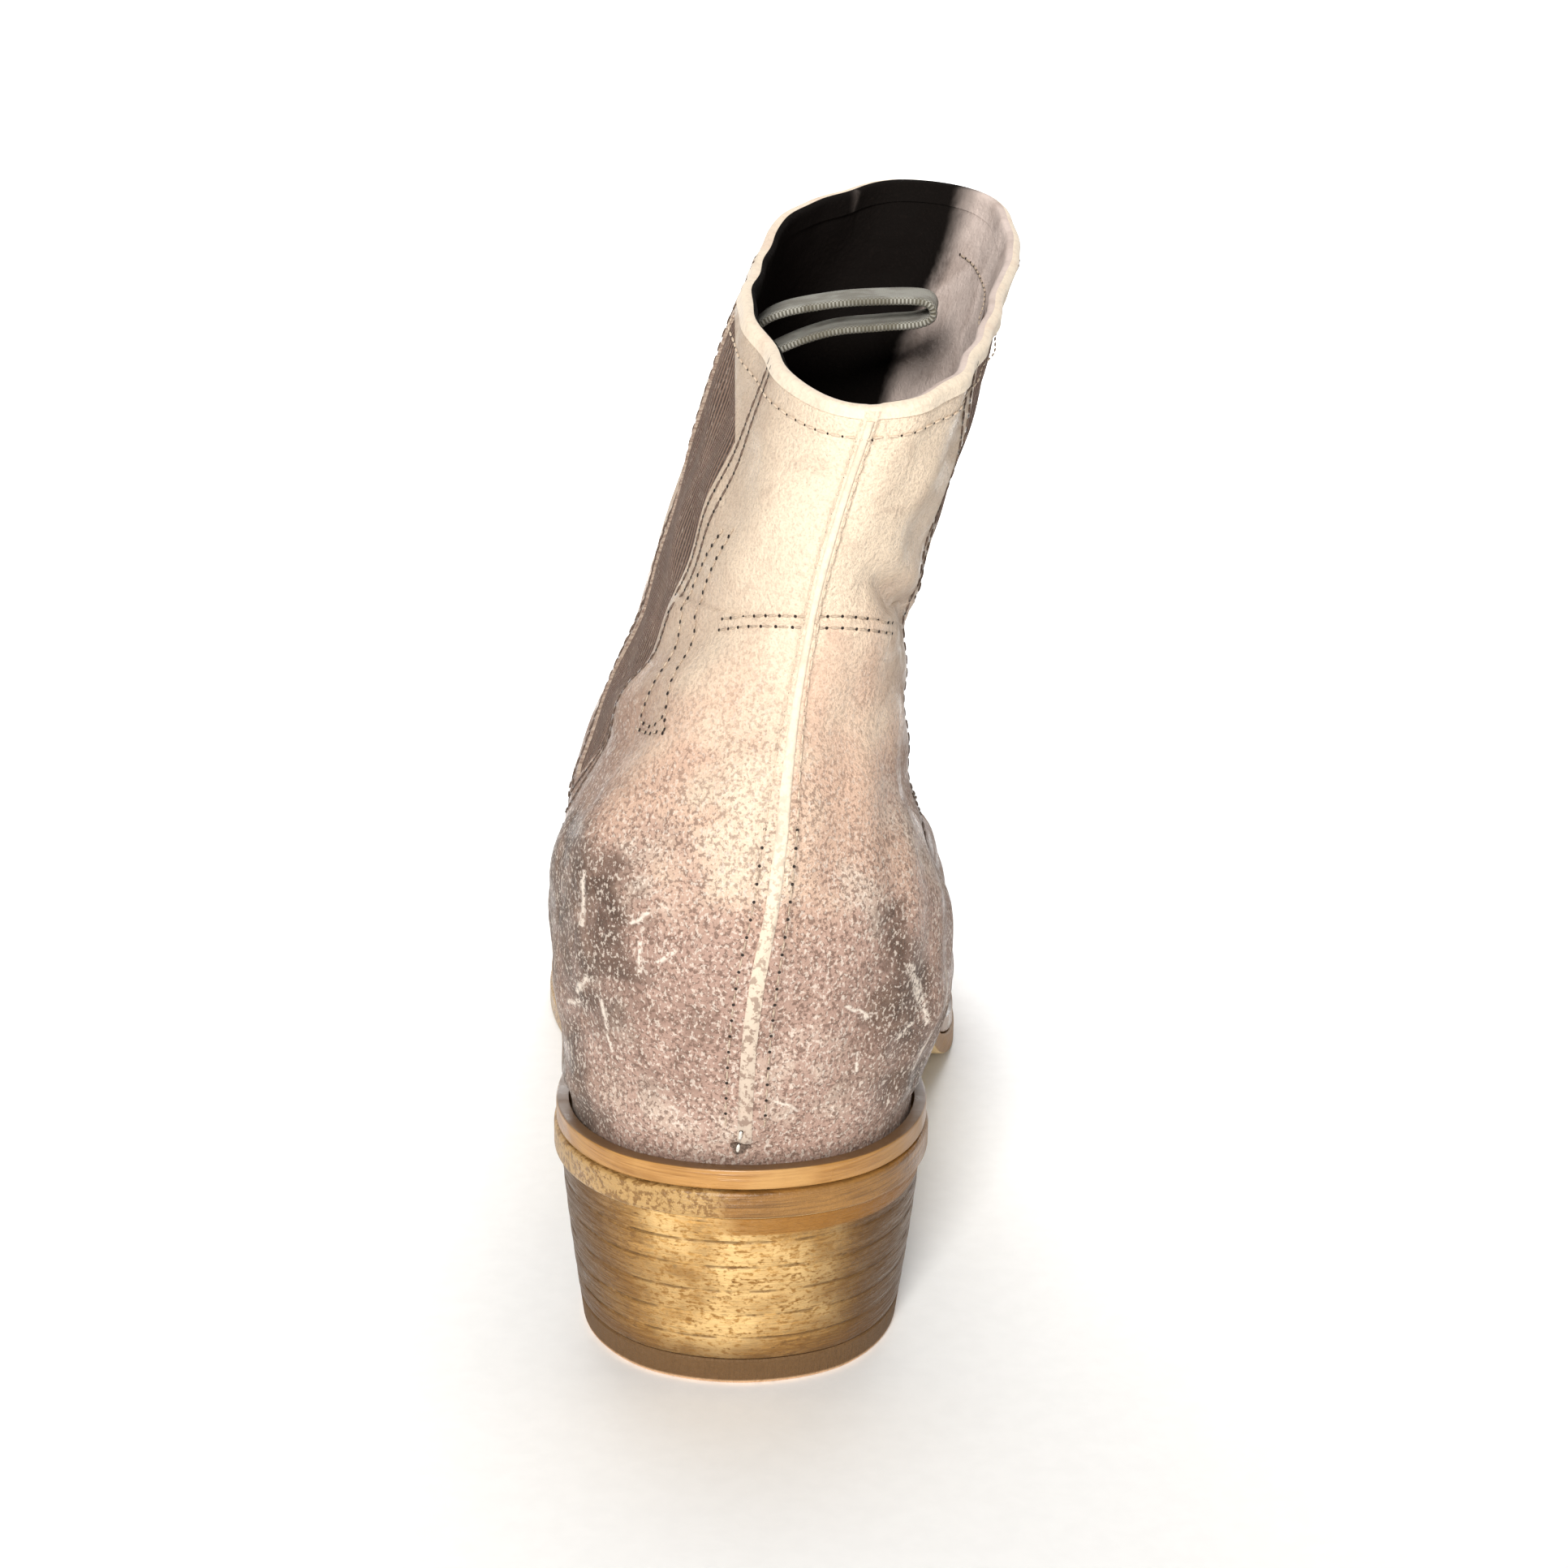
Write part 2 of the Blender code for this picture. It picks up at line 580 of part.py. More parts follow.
def make_gore(name, side):
    """Elastic panel set into the wall, a little below its face."""
    turn = np.linspace(*GORE_TURNS, 15)
    turn = turn if side > 0 else 2 * math.pi - turn
    levels = np.linspace(*GORE_LEVELS, 15)
    outer = upper_face(turn[None, :], levels[:, None], GORE_RECESS)
    inner = upper_face(turn[None, :], levels[:, None], GORE_RECESS + GORE_THICK)
    rows, cols = outer.shape[:2]
    verts = np.concatenate([outer.reshape(-1, 3), inner.reshape(-1, 3)])
    base = rows * cols
    faces = []
    for r in range(rows - 1):
        for c in range(cols - 1):
            a = r * cols + c
            faces.append((a, a + 1, a + cols + 1, a + cols))
            faces.append((base + a, base + a + cols, base + a + cols + 1, base + a + 1))
    border = ([c for c in range(cols)] + [r * cols + cols - 1 for r in range(1, rows)]
              + [(rows - 1) * cols + c for c in range(cols - 2, -1, -1)]
              + [r * cols for r in range(rows - 2, 0, -1)])
    for a, b in zip(border, border[1:] + border[:1]):
        faces.append((a, base + a, base + b, b))
    gore = new_object(name, verts, faces, ELASTIC)
    boolean(gore, gore_prism(name + "_outline", side, GAP), "INTERSECT")
    return gore


def make_upper():
    shell = make_shell()
    for side, name in ((1, "gore_lateral"), (-1, "gore_medial")):
        boolean(shell, gore_prism(name + "_cut", side, 0.0), "DIFFERENCE")
        make_gore(name, side)
    return shell


def make_pull_loop():
    """Doubled webbing loop: sewn to the inner wall, folded over into the opening."""
    turn = np.array([2 * math.pi - LOOP_TURN])
    depth = WALL + GAP + LOOP_SEAT_HOLLOW + LOOP_THICK / 2
    seat = upper_face(turn, LOOP_LEVEL, depth)[0]
    below = upper_face(turn, LOOP_LEVEL - 0.08, depth)[0]
    up = (seat - below) / np.linalg.norm(seat - below)
    inward = -upper_normal(turn, LOOP_LEVEL)[0]
    width = np.cross(inward, up)
    width /= np.linalg.norm(width)
    inward = np.cross(up, width)
    rows = np.array(LOOP_PATH) * LOOP_REACH
    steps = np.arange(len(rows), dtype=float)
    bends = smooth(np.linspace(0, steps[-1], 3 * len(rows)), steps, rows)
    path = seat + bends[:, :1] * inward + bends[:, 1:] * up
    along = np.gradient(path, axis=0)
    along /= np.linalg.norm(along, axis=1, keepdims=True)
    across = np.cross(width, along)
    rings = []
    for w, t in ((-1, -1), (1, -1), (1, 1), (-1, 1)):
        rings.append(path + width * w * LOOP_WIDTH / 2 + across * t * LOOP_THICK / 2)
    count = len(path)
    faces = []
    for i in range(4):
        j = (i + 1) % 4
        faces += [(i * count + k, i * count + k + 1, j * count + k + 1, j * count + k)
                  for k in range(count - 1)]
    faces.append(tuple(i * count for i in range(4)))
    faces.append(tuple(i * count + count - 1 for i in range(4)))
    return new_object("pull_loop", np.concatenate(rings), faces, WEBBING)


def main():
    for obj in list(bpy.data.objects):
        bpy.data.objects.remove(obj, do_unlink=True)
    make_outsole()
    make_welt()
    make_insole()
    make_heel()
    make_upper()
    make_pull_loop()


main()
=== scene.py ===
# %% [markdown]
# # Dressing a right western ankle boot
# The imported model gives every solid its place: outsole, welt, stacked heel, hollow upper,
# elastic gores and pull loop. This script keeps those places and sizes, and gives the boot
# what a photograph shows from close by: creases, stitches, nap, layers of leather and wear.
# Everything is in metres. +Y points to the toe, +X to the outer side, and the floor is Z = 0.

import json
import math
from functools import partial

import bmesh
import bpy
import numpy as np
from mathutils import Matrix, Vector
from mathutils.bvhtree import BVHTree

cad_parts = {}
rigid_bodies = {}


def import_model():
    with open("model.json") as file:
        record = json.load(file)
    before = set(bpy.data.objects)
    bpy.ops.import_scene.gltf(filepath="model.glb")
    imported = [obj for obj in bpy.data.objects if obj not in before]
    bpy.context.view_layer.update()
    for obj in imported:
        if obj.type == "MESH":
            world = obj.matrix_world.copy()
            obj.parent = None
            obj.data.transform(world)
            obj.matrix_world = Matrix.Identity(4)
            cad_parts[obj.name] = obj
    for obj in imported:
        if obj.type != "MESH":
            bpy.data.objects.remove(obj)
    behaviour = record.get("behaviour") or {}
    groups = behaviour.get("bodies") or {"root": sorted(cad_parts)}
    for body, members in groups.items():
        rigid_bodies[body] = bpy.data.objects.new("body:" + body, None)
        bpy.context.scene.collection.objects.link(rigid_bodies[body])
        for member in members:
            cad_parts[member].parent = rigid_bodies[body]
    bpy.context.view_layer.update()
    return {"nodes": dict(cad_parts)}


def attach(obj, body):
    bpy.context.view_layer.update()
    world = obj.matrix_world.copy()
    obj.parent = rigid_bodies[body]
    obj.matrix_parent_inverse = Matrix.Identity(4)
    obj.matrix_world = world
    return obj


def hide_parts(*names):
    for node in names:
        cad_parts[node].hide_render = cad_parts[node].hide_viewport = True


for leftover in list(bpy.data.objects):
    bpy.data.objects.remove(leftover, do_unlink=True)
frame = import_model()
nodes = frame["nodes"]
print("solids:", ", ".join(sorted(nodes)))

# %% [markdown]
# ## The camera and the light
# The boot is seen from behind and a little above, as someone sees a pair set down in front
# of them. The camera goes first, so that each later piece can be judged through it. It looks
# down 16.6 degrees, is turned 1.9 degrees to the outer side, and leans 0.8 degrees.

# %% Camera
FRAME_PIXELS = 1932
CAMERA_PLACE = Vector((-0.00583, -0.36724, 0.20086))
CAMERA_RIGHT = Vector((0.99947, -0.02926, 0.01396))
CAMERA_UP = Vector((-0.00501, 0.28606, 0.95820))
FOCAL_PIXELS = 2930

lens = bpy.data.cameras.new("studio_camera")
lens.sensor_width = 36.0
lens.lens = FOCAL_PIXELS / FRAME_PIXELS * lens.sensor_width
lens.clip_start = 0.01
camera = bpy.data.objects.new("studio_camera", lens)
right, up = CAMERA_RIGHT.normalized(), CAMERA_UP.normalized()
back = right.cross(up).normalized()
camera.matrix_world = Matrix.Translation(CAMERA_PLACE) @ Matrix(
    (right, back.cross(right), back)).transposed().to_4x4()
scene = bpy.context.scene
scene.collection.objects.link(camera)
scene.camera = camera
scene.view_settings.view_transform = "Standard"
print("lens:", round(lens.lens, 1), "mm")

# %% [markdown]
# Suede shows its nap under a broad soft light. One large panel stands behind the camera, up
# and to the left, so the middle of the boot is brightest and its sides fall off. A second,
# weaker one on the right keeps the dark elastic readable, and a pale sky fills the rest.

# %% Light


def panel_light(name, place, aim, size, power, colour=(1.0, 1.0, 1.0)):
    """Square soft light that faces a point."""
    made = bpy.data.lights.new(name, "AREA")
    made.size = size
    made.energy = power
    made.color = colour
    lamp = bpy.data.objects.new(name, made)
    lamp.location = place
    lamp.rotation_euler = (Vector(aim) - Vector(place)).to_track_quat("-Z", "Y").to_euler()
    scene.collection.objects.link(lamp)


BOOT_MIDDLE = (0.0, 0.05, 0.08)
panel_light("key_light", (-0.22, -1.25, 0.66), BOOT_MIDDLE, 0.40, 25.0, (1.0, 0.985, 0.955))
panel_light("side_light", (1.20, -0.10, 0.50), BOOT_MIDDLE, 0.60, 0.8, (0.97, 0.985, 1.0))
panel_light("top_light", (0.0, 0.45, 1.40), BOOT_MIDDLE, 0.90, 6.0)
panel_light("backdrop_light", (0.0, 0.90, 1.30), (0.0, 2.30, 0.10), 1.20, 60.0)

world = bpy.data.worlds.new("studio_sky")
world.use_nodes = True
world.node_tree.nodes["Background"].inputs["Color"].default_value = (0.96, 0.97, 1.0, 1.0)
world.node_tree.nodes["Background"].inputs["Strength"].default_value = 0.13
scene.world = world

# %% [markdown]
# ## A short way to write node trees and finishes
# Each material is a few noises and masks mixed into a Principled shader. These helpers keep
# the trees short: `Finish` owns one material, and its methods add a few nodes and hand back
# a socket, so a finish reads like a recipe.

# %% Helpers for node trees and materials


def put(tree, socket, value):
    """Links a socket, or sets a plain value; a colour may leave out its alpha."""
    if isinstance(value, bpy.types.NodeSocket):
        tree.links.new(value, socket)
    elif isinstance(value, tuple) and len(socket.default_value) == 4:
        socket.default_value = (*value, 1.0)
    else:
        socket.default_value = value


def add_node(tree, kind, inputs=(), **settings):
    """Any node of a tree, with its inputs by name or number."""
    node = tree.nodes.new(kind)
    for key, value in settings.items():
        setattr(node, key, value)
    for key, value in dict(inputs).items():
        put(tree, node.inputs[key], value)
    return node


def node_tree(name, kind, inputs, output):
    """New tree with named inputs and one output, and the sockets of its inputs."""
    tree = bpy.data.node_groups.new(name, kind)
    for way, sockets in (("INPUT", inputs), ("OUTPUT", [output])):
        for title, what in sockets:
            tree.interface.new_socket(title, in_out=way, socket_type="NodeSocket" + what)
    return tree, add_node(tree, "NodeGroupInput").outputs


FINE_MARK = 0.003
FINE_WANDER, BROAD_WANDER = 0.0022, 0.010


class Finish:
    """One material and the nodes that feed it."""

    def __init__(self, name, roughness=0.6, specular=0.4):
        self.material = bpy.data.materials.new(name)
        self.material.use_nodes = True
        self.tree = self.material.node_tree
        self.add = partial(add_node, self.tree)
        self.shader = self.tree.nodes["Principled BSDF"]
        self.shader.inputs["Roughness"].default_value = roughness
        self.shader.inputs["Specular IOR Level"].default_value = specular
        self.place = self.add("ShaderNodeTexCoord").outputs["Object"]
        self.wander = {}

    def stretched(self, sizes, turned=(0.0, 0.0, 0.0), place=None):
        """Coordinates divided by a feature size in metres for each axis."""
        scale = tuple(1.0 / s for s in sizes)
        inputs = {"Vector": place or self.place, "Scale": scale, "Rotation": turned}
        return self.add("ShaderNodeMapping", inputs).outputs["Vector"]

    def noise(self, size, detail=2.0, roughness=0.5, twist=0.0, place=None):
        """Noise whose patches are about size metres across; size may be three numbers."""
        sizes = size if isinstance(size, tuple) else (size, size, size)
        inputs = {"Vector": self.stretched(sizes, place=place), "Scale": 1.0,
                  "Detail": detail, "Roughness": roughness, "Distortion": twist}
        return self.add("ShaderNodeTexNoise", inputs).outputs["Fac"]

    def above(self, value, low, high, weight=1.0):
        """0 where value is under low, rising softly to weight at high."""
        inputs = {0: value, 1: low, 2: high, 3: 0.0, 4: weight}
        return self.add("ShaderNodeMapRange", inputs,
                        interpolation_type="SMOOTHSTEP").outputs[0]

    def math(self, operation, first, second=0.0):
        return self.add("ShaderNodeMath", {0: first, 1: second},
                        operation=operation).outputs[0]

    def less(self, value):
        """1 minus a value."""
        return self.math("SUBTRACT", 1.0, value)

    def both(self, first, other, share=1.0):
        """Two masks multiplied, and weakened by share."""
        product = self.math("MULTIPLY", first, other)
        return product if share == 1.0 else self.math("MULTIPLY", product, share)

    def mix(self, share, first, second):
        """Colour that goes from first to second by share."""
        inputs = {0: share, 6: first, 7: second}
        return self.add("ShaderNodeMix", inputs, data_type="RGBA").outputs[2]

    def axis(self, name):
        """X, Y or Z of the boot's own coordinates."""
        return self.add("ShaderNodeSeparateXYZ", {0: self.place}).outputs[name]

    def facing_up(self):
        """How far the surface faces upwards, from -1 to 1."""
        normal = self.add("ShaderNodeNewGeometry").outputs["Normal"]
        return self.add("ShaderNodeSeparateXYZ", {0: normal}).outputs["Z"]

    def map_parts(self, name):
        """Both parts of a flat map."""
        place = self.add("ShaderNodeUVMap", uv_map=name).outputs["UV"]
        parts = self.add("ShaderNodeSeparateXYZ", {0: place}).outputs
        return parts["X"], parts["Y"]

    def weave(self):
        """Waves across and along the "weave" map, one for each unit of it."""
        return [self.math("SINE", self.math("MULTIPLY", part, 2 * math.pi))
                for part in self.map_parts("weave")]

    def patch(self, start, end, radius, edge=0.6, place=None):
        """Soft mark along a short line between two places, in metres."""
        size = BROAD_WANDER if radius > FINE_MARK else FINE_WANDER
        if size not in self.wander:
            self.wander[size] = self.add("ShaderNodeTexNoise", {
                "Vector": self.place, "Scale": 1 / size, "Detail": 3.0}).outputs["Color"]
        inputs = {"Place": place or self.place, "Wander": self.wander[size], "Start": start,
                  "End": end, "Radius": radius, "Edge": edge}
        return self.add("ShaderNodeGroup", inputs, node_tree=mark_group()).outputs["Mark"]

    def most(self, *values):
        """The largest of several masks."""
        found = values[0]
        for value in values[1:]:
            found = self.math("MAXIMUM", found, value)
        return found

    def relief(self, *layers):
        """Bump from (height, depth in metres) pairs, on the finish's normal."""
        normal = None
        for height, depth in layers:
            inputs = {"Height": height, "Strength": 1.0, "Distance": depth}
            if normal is not None:
                inputs["Normal"] = normal
            normal = self.add("ShaderNodeBump", inputs).outputs["Normal"]
        put(self.tree, self.shader.inputs["Normal"], normal)

    def finish(self, colour, roughness=None, **steady):
        """Colour and roughness of the surface, and steady values on the shader."""
        put(self.tree, self.shader.inputs["Base Color"], colour)
        if roughness is not None:
            put(self.tree, self.shader.inputs["Roughness"], roughness)
        for name, value in steady.items():
            put(self.tree, self.shader.inputs[name.replace("_", " ")], value)
        return self.material


WANDER_REACH = 2.4


def mark_group():
    """Node group: soft capsule between two places, with a wandering edge."""
    found = bpy.data.node_groups.get("mark")
    if found:
        return found
    vectors = [(name, "Vector") for name in ("Place", "Wander", "Start", "End")]
    tree, given = node_tree("mark", "ShaderNodeTree",
                            vectors + [("Radius", "Float"), ("Edge", "Float")],
                            ("Mark", "Float"))

    def vector(operation, first, second=(0.0, 0.0, 0.0), out="Vector"):
        return add_node(tree, "ShaderNodeVectorMath", {0: first, 1: second},
                        operation=operation).outputs[out]

    def number(operation, first, second):
        return add_node(tree, "ShaderNodeMath", {0: first, 1: second}, operation=operation,
                        use_clamp=operation == "DIVIDE").outputs[0]

    def scaled(source, by):
        return add_node(tree, "ShaderNodeVectorMath", {0: source, "Scale": by},
                        operation="SCALE").outputs["Vector"]

    sway = vector("SUBTRACT", given["Wander"], (0.5, 0.5, 0.5))
    swing = number("MULTIPLY", given["Radius"], WANDER_REACH)
    moved = vector("ADD", given["Place"], scaled(sway, swing))
    along = vector("SUBTRACT", given["End"], given["Start"])
    reach = vector("SUBTRACT", moved, given["Start"])
    share = number("DIVIDE", vector("DOT_PRODUCT", reach, along, "Value"),
                   number("MAXIMUM", vector("DOT_PRODUCT", along, along, "Value"), 1e-9))
    away = vector("LENGTH", vector("SUBTRACT", reach, scaled(along, share)), out="Value")
    fade = add_node(tree, "ShaderNodeMapRange", {
        0: away, 1: number("MULTIPLY", given["Radius"], given["Edge"]), 2: given["Radius"],
        3: 1.0, 4: 0.0}, interpolation_type="SMOOTHSTEP")
    add_node(tree, "NodeGroupOutput", {"Mark": fade.outputs[0]})
    return tree


# %% [markdown]
# ## The shoe's own sizes
# The frame holds the solids, but a fine surface needs the rules behind them. The boot is
# made like a last: a plan of the sole, a profile of its underside, and rings of the upper
# from the feather line, where the upper meets the sole, up to the collar. The same few
# tables are written again here, so a seam can be placed as (turn, level): turn goes round
# the boot from the back seam, 0 to pi on the outer side, and level goes from 0 at the
# feather line to 1 at the collar.

# %% Sizes of the sole, the heel and the upper
SOLE_LENGTH, BALL_WIDTH, SEAT_WIDTH = 0.252, 0.089, 0.062
OUTSOLE_THICK, TOE_SPRING, TOE_DRIFT, SEAT_DROP = 0.0045, 0.0085, 0.003, 0.005
HEEL_HEIGHT, HEEL_FOOT_LENGTH, HEEL_FOOT_WIDTH = 0.0335, 0.060, 0.053
HEEL_BACK_SLOPE, HEEL_SETBACK, TOP_LIFT_THICK = 0.009, 0.0012, 0.005
HEEL_CURVE, BREAST_SKEW, HEEL_LIFTS = 1.25, 0.05, 6
WELT_HEIGHT, WELT_SETBACK, WELT_CLEARANCE = 0.0034, 0.0004, 0.0005
FEATHER_SEAT, FEATHER_TOE, FEATHER_TURNS = 0.0031, 0.0045, (0.9, 1.9)
SHAFT_HEIGHT, COLLAR_RISE, ANKLE_WIDTH = 0.156, 0.027, 0.046
WALL, COUNTER_LAP, SEAM_RIDGE, SEAM_RIDGE_WIDTH = 0.002, 0.0006, 0.0007, 0.0045
GORE_TOP_WIDTH, GORE_TIP_RADIUS, GORE_TIP_HEIGHT = 0.040, 0.0105, 0.087
GORE_Y, GORE_LEAN, GORE_RECESS, GORE_THICK = 0.012, -0.012, 0.0005, 0.0014
LOOP_WIDTH, LOOP_THICK, LOOP_REACH = 0.011, 0.0013, 0.026
LOOP_LEVEL, LOOP_TURN, LOOP_SEAT_HOLLOW = 0.97, 1.85, 0.0005
GAP, SOLE_EDGE, WELT_EDGE = 0.0003, 0.0006, 0.0004
BREAST_AT, ARCH_START, TREAD_START, TREAD_END = 0.30, 0.325, 0.61, 0.735
SEAM_LEVEL, SIDE_SEAM_TURN, STEP_TURN, STEP_LEVEL = 0.775, 1.02, 0.006, 0.002
STEP_FOOT = (0.040, 0.060)
BACK = -(HEEL_FOOT_LENGTH / 2 + HEEL_BACK_SLOPE)
RIDGE_TURNS = [SEAM_RIDGE_WIDTH / SEAT_WIDTH * share for share in (0.55, 1.1)]

# Half widths of the sole: share of the length, outer side, inner side
SEAT_ROWS = [(0.03, 0.325, 0.325), (0.12, 0.495, 0.495), (0.21, 0.495, 0.478),
             (0.30, 0.505, 0.415)]
BALL_ROWS = [(0.40, 0.405, 0.243), (0.50, 0.475, 0.305), (0.60, 0.538, 0.412),
             (0.66, 0.543, 0.452), (0.74, 0.505, 0.462), (0.82, 0.430, 0.412),
             (0.90, 0.335, 0.322), (0.96, 0.240, 0.200)]

# Rings of the upper: level, share of the sole's plan, back y and z, front y and z,
# half widths at five stations on the outer and on the inner side, two sideways shifts
FOOT_RINGS = [
    (0.00, 1.00, 0.012, 0.252, 0.979, 0.083,
     0.32, 0.33, 0.42, 0.50, 0.33, 0.32, 0.30, 0.33, 0.44, 0.33, 0.00, 0.06),
    (0.05, 0.84, 0.003, 0.295, 0.986, 0.118,
     0.34, 0.34, 0.42, 0.53, 0.34, 0.34, 0.32, 0.36, 0.48, 0.34, 0.00, 0.06),
    (0.14, 0.50, -0.005, 0.396, 0.977, 0.179,
     0.405, 0.395, 0.41, 0.52, 0.34, 0.355, 0.345, 0.375, 0.475, 0.33, 0.02, 0.06),
    (0.21, 0.29, -0.006, 0.462, 0.954, 0.219,
     0.363, 0.372, 0.395, 0.465, 0.30, 0.360, 0.365, 0.385, 0.44, 0.29, 0.045, 0.06),
    (0.30, 0.13, -0.003, 0.528, 0.886, 0.269,
     0.300, 0.324, 0.352, 0.375, 0.215, 0.355, 0.376, 0.400, 0.405, 0.225, 0.085, 0.055),
    (0.41, 0.03, 0.006, 0.598, 0.765, 0.335,
     0.227, 0.278, 0.294, 0.280, 0.143, 0.329, 0.380, 0.382, 0.330, 0.155, 0.110, 0.055),
]
SHAFT_RINGS = [
    (0.53, 0.00, 0.017, 0.660, 0.636, 0.430,
     0.359, 0.463, 0.480, 0.450, 0.222, 0.500, 0.683, 0.683, 0.572, 0.278, 0.126, 0.065),
    (0.65, 0.00, 0.025, 0.721, 0.520, 0.577,
     0.302, 0.439, 0.446, 0.415, 0.222, 0.372, 0.576, 0.624, 0.563, 0.289, 0.150, 0.087),
    (0.76, 0.00, 0.028, 0.790, 0.455, 0.737,
     0.252, 0.400, 0.417, 0.391, 0.235, 0.280, 0.448, 0.522, 0.489, 0.275, 0.187, 0.152),
    (0.88, 0.00, 0.024, 0.880, 0.418, 0.950,
     0.255, 0.400, 0.460, 0.455, 0.280, 0.270, 0.424, 0.480, 0.460, 0.290, 0.250, 0.315),
    (1.00, 0.00, 0.016, 1.000, 0.402, 1.000,
     0.260, 0.370, 0.430, 0.465, 0.370, 0.270, 0.413, 0.478, 0.457, 0.304, 0.370, 0.580),
]
RING_STATIONS = (0.0, 0.1, 0.3, 0.5, 0.7, 0.9, 1.0)
LOOP_PATH = [
    (0.00, -0.75), (0.00, -0.32), (0.08, -0.04), (0.40, 0.18), (0.75, 0.34), (0.97, 0.41),
    (1.04, 0.35), (0.97, 0.27), (0.76, 0.17), (0.45, 0.01), (0.17, -0.24), (0.08, -0.45),
    (0.08, -0.75),
]

# %% Rules of the sole and of the upper's surface


def cubic(t, step, first, last, slope_first, slope_last):
    """Point t of the way between two values with given slopes."""
    return ((2 * t**3 - 3 * t**2 + 1) * first + (t**3 - 2 * t**2 + t) * step * slope_first
            + (3 * t**2 - 2 * t**3) * last + (t**3 - t**2) * step * slope_last)


def smooth(x, knots, values):
    """Cubic curve through values at knots, for each x; values may be rows."""
    knots, values, x = (np.asarray(a, float) for a in (knots, values, x))
    slopes = np.gradient(values, knots, axis=0)
    i = np.clip(np.searchsorted(knots, x, side="right") - 1, 0, len(knots) - 2)
    step = knots[i + 1] - knots[i]
    t = (x - knots[i]) / step
    if values.ndim > 1:
        step, t = step[..., None], t[..., None]
    return cubic(t, step, values[i], values[i + 1], slopes[i], slopes[i + 1])


def station_curve(angle, knots, columns):
    """Cubic curve across the stations, where each point has its own row of values."""
    values = np.stack(columns, axis=-1)
    slopes = np.gradient(values, knots, axis=-1)
    i = np.clip(np.searchsorted(knots, angle, side="right") - 1, 0, len(knots) - 2)
    step = knots[i + 1] - knots[i]

    def pick(array, j):
        return np.take_along_axis(array, j[..., None], axis=-1)[..., 0]

    return cubic((angle - knots[i]) / step, step, pick(values, i), pick(values, i + 1),
                 pick(slopes, i), pick(slopes, i + 1))


def ramp(x, start, end):
    """0 before start and 1 after end, with a soft rise between."""
    t = np.clip((x - start) / (end - start), 0.0, 1.0)
    return t * t * (3 - 2 * t)


def sole_bottom(y):
    """Height of the outsole's underside: seat, arch, flat tread and toe spring."""
    along = (np.asarray(y, float) - BACK) / SOLE_LENGTH
    slope = -SEAT_DROP / BREAST_AT
    seat = HEEL_HEIGHT + slope * along
    run = TREAD_START - ARCH_START
    t = np.clip((along - ARCH_START) / run, 0.0, 1.0)
    fall = np.where(t < 0.5, 1 - 2 * t**2, 2 * (1 - t)**2)
    arch = (HEEL_HEIGHT + slope * ARCH_START) * fall + slope * run * t * (1 - t)**2
    rise = np.clip((along - TREAD_END) / (1 - TREAD_END), 0.0, None)
    return np.where(along < ARCH_START, seat, arch + TOE_SPRING * rise**1.8)


def sole_top(y):
    return sole_bottom(y) + OUTSOLE_THICK


def mirrored(turn):
    """Angle from the back, 0 to pi, and the side: 1 outer, -1 inner."""
    turn = np.mod(turn, 2 * math.pi)
    outer = turn <= math.pi
    return np.where(outer, turn, 2 * math.pi - turn), np.where(outer, 1.0, -1.0)


SOLE_TABLE = np.array(
    [(0.0, 0.0, 0.0)]
    + [(a, o * SEAT_WIDTH, i * SEAT_WIDTH) for a, o, i in SEAT_ROWS]
    + [(a, o * BALL_WIDTH, i * BALL_WIDTH) for a, o, i in BALL_ROWS]
    + [(1.0, TOE_DRIFT, -TOE_DRIFT)])


def sole_outline(turn, inset=0.0):
    """Plan of the sole at each turn, moved inwards by inset."""
    knots = np.arccos(1 - 2 * SOLE_TABLE[:, 0])

    def plain(t):
        angle, side = mirrored(t)
        both = smooth(angle, knots, SOLE_TABLE[:, 1:])
        x = np.where(side > 0, both[..., 0], -both[..., 1])
        return np.stack([x, BACK + SOLE_LENGTH * (1 - np.cos(angle)) / 2], axis=-1)

    turn = np.asarray(turn, float)
    along = plain(turn + 0.01) - plain(turn - 0.01)
    along /= np.linalg.norm(along, axis=-1, keepdims=True)
    inward = np.stack([-along[..., 1], along[..., 0]], axis=-1)
    return plain(turn) + inward * np.asarray(inset)[..., None]


def ring_table():
    """The ring rows in metres."""
    rows = []
    for ring in FOOT_RINGS + SHAFT_RINGS:
        width = BALL_WIDTH if ring in FOOT_RINGS else ANKLE_WIDTH
        row = list(ring)
        row[2], row[4] = (BACK + ring[i] * SOLE_LENGTH for i in (2, 4))
        row[3], row[5] = (ring[i] * SHAFT_HEIGHT for i in (3, 5))
        row[6:16] = [share * width for share in ring[6:16]]
        row[16:] = [share * ANKLE_WIDTH for share in ring[16:]]
        rows.append(row)
    rows[0][3] = sole_top(BACK) + GAP
    rows[0][5] = sole_top(BACK + SOLE_LENGTH) + GAP
    rows[-1][5] += COLLAR_RISE
    return np.array(rows)


RINGS = ring_table()


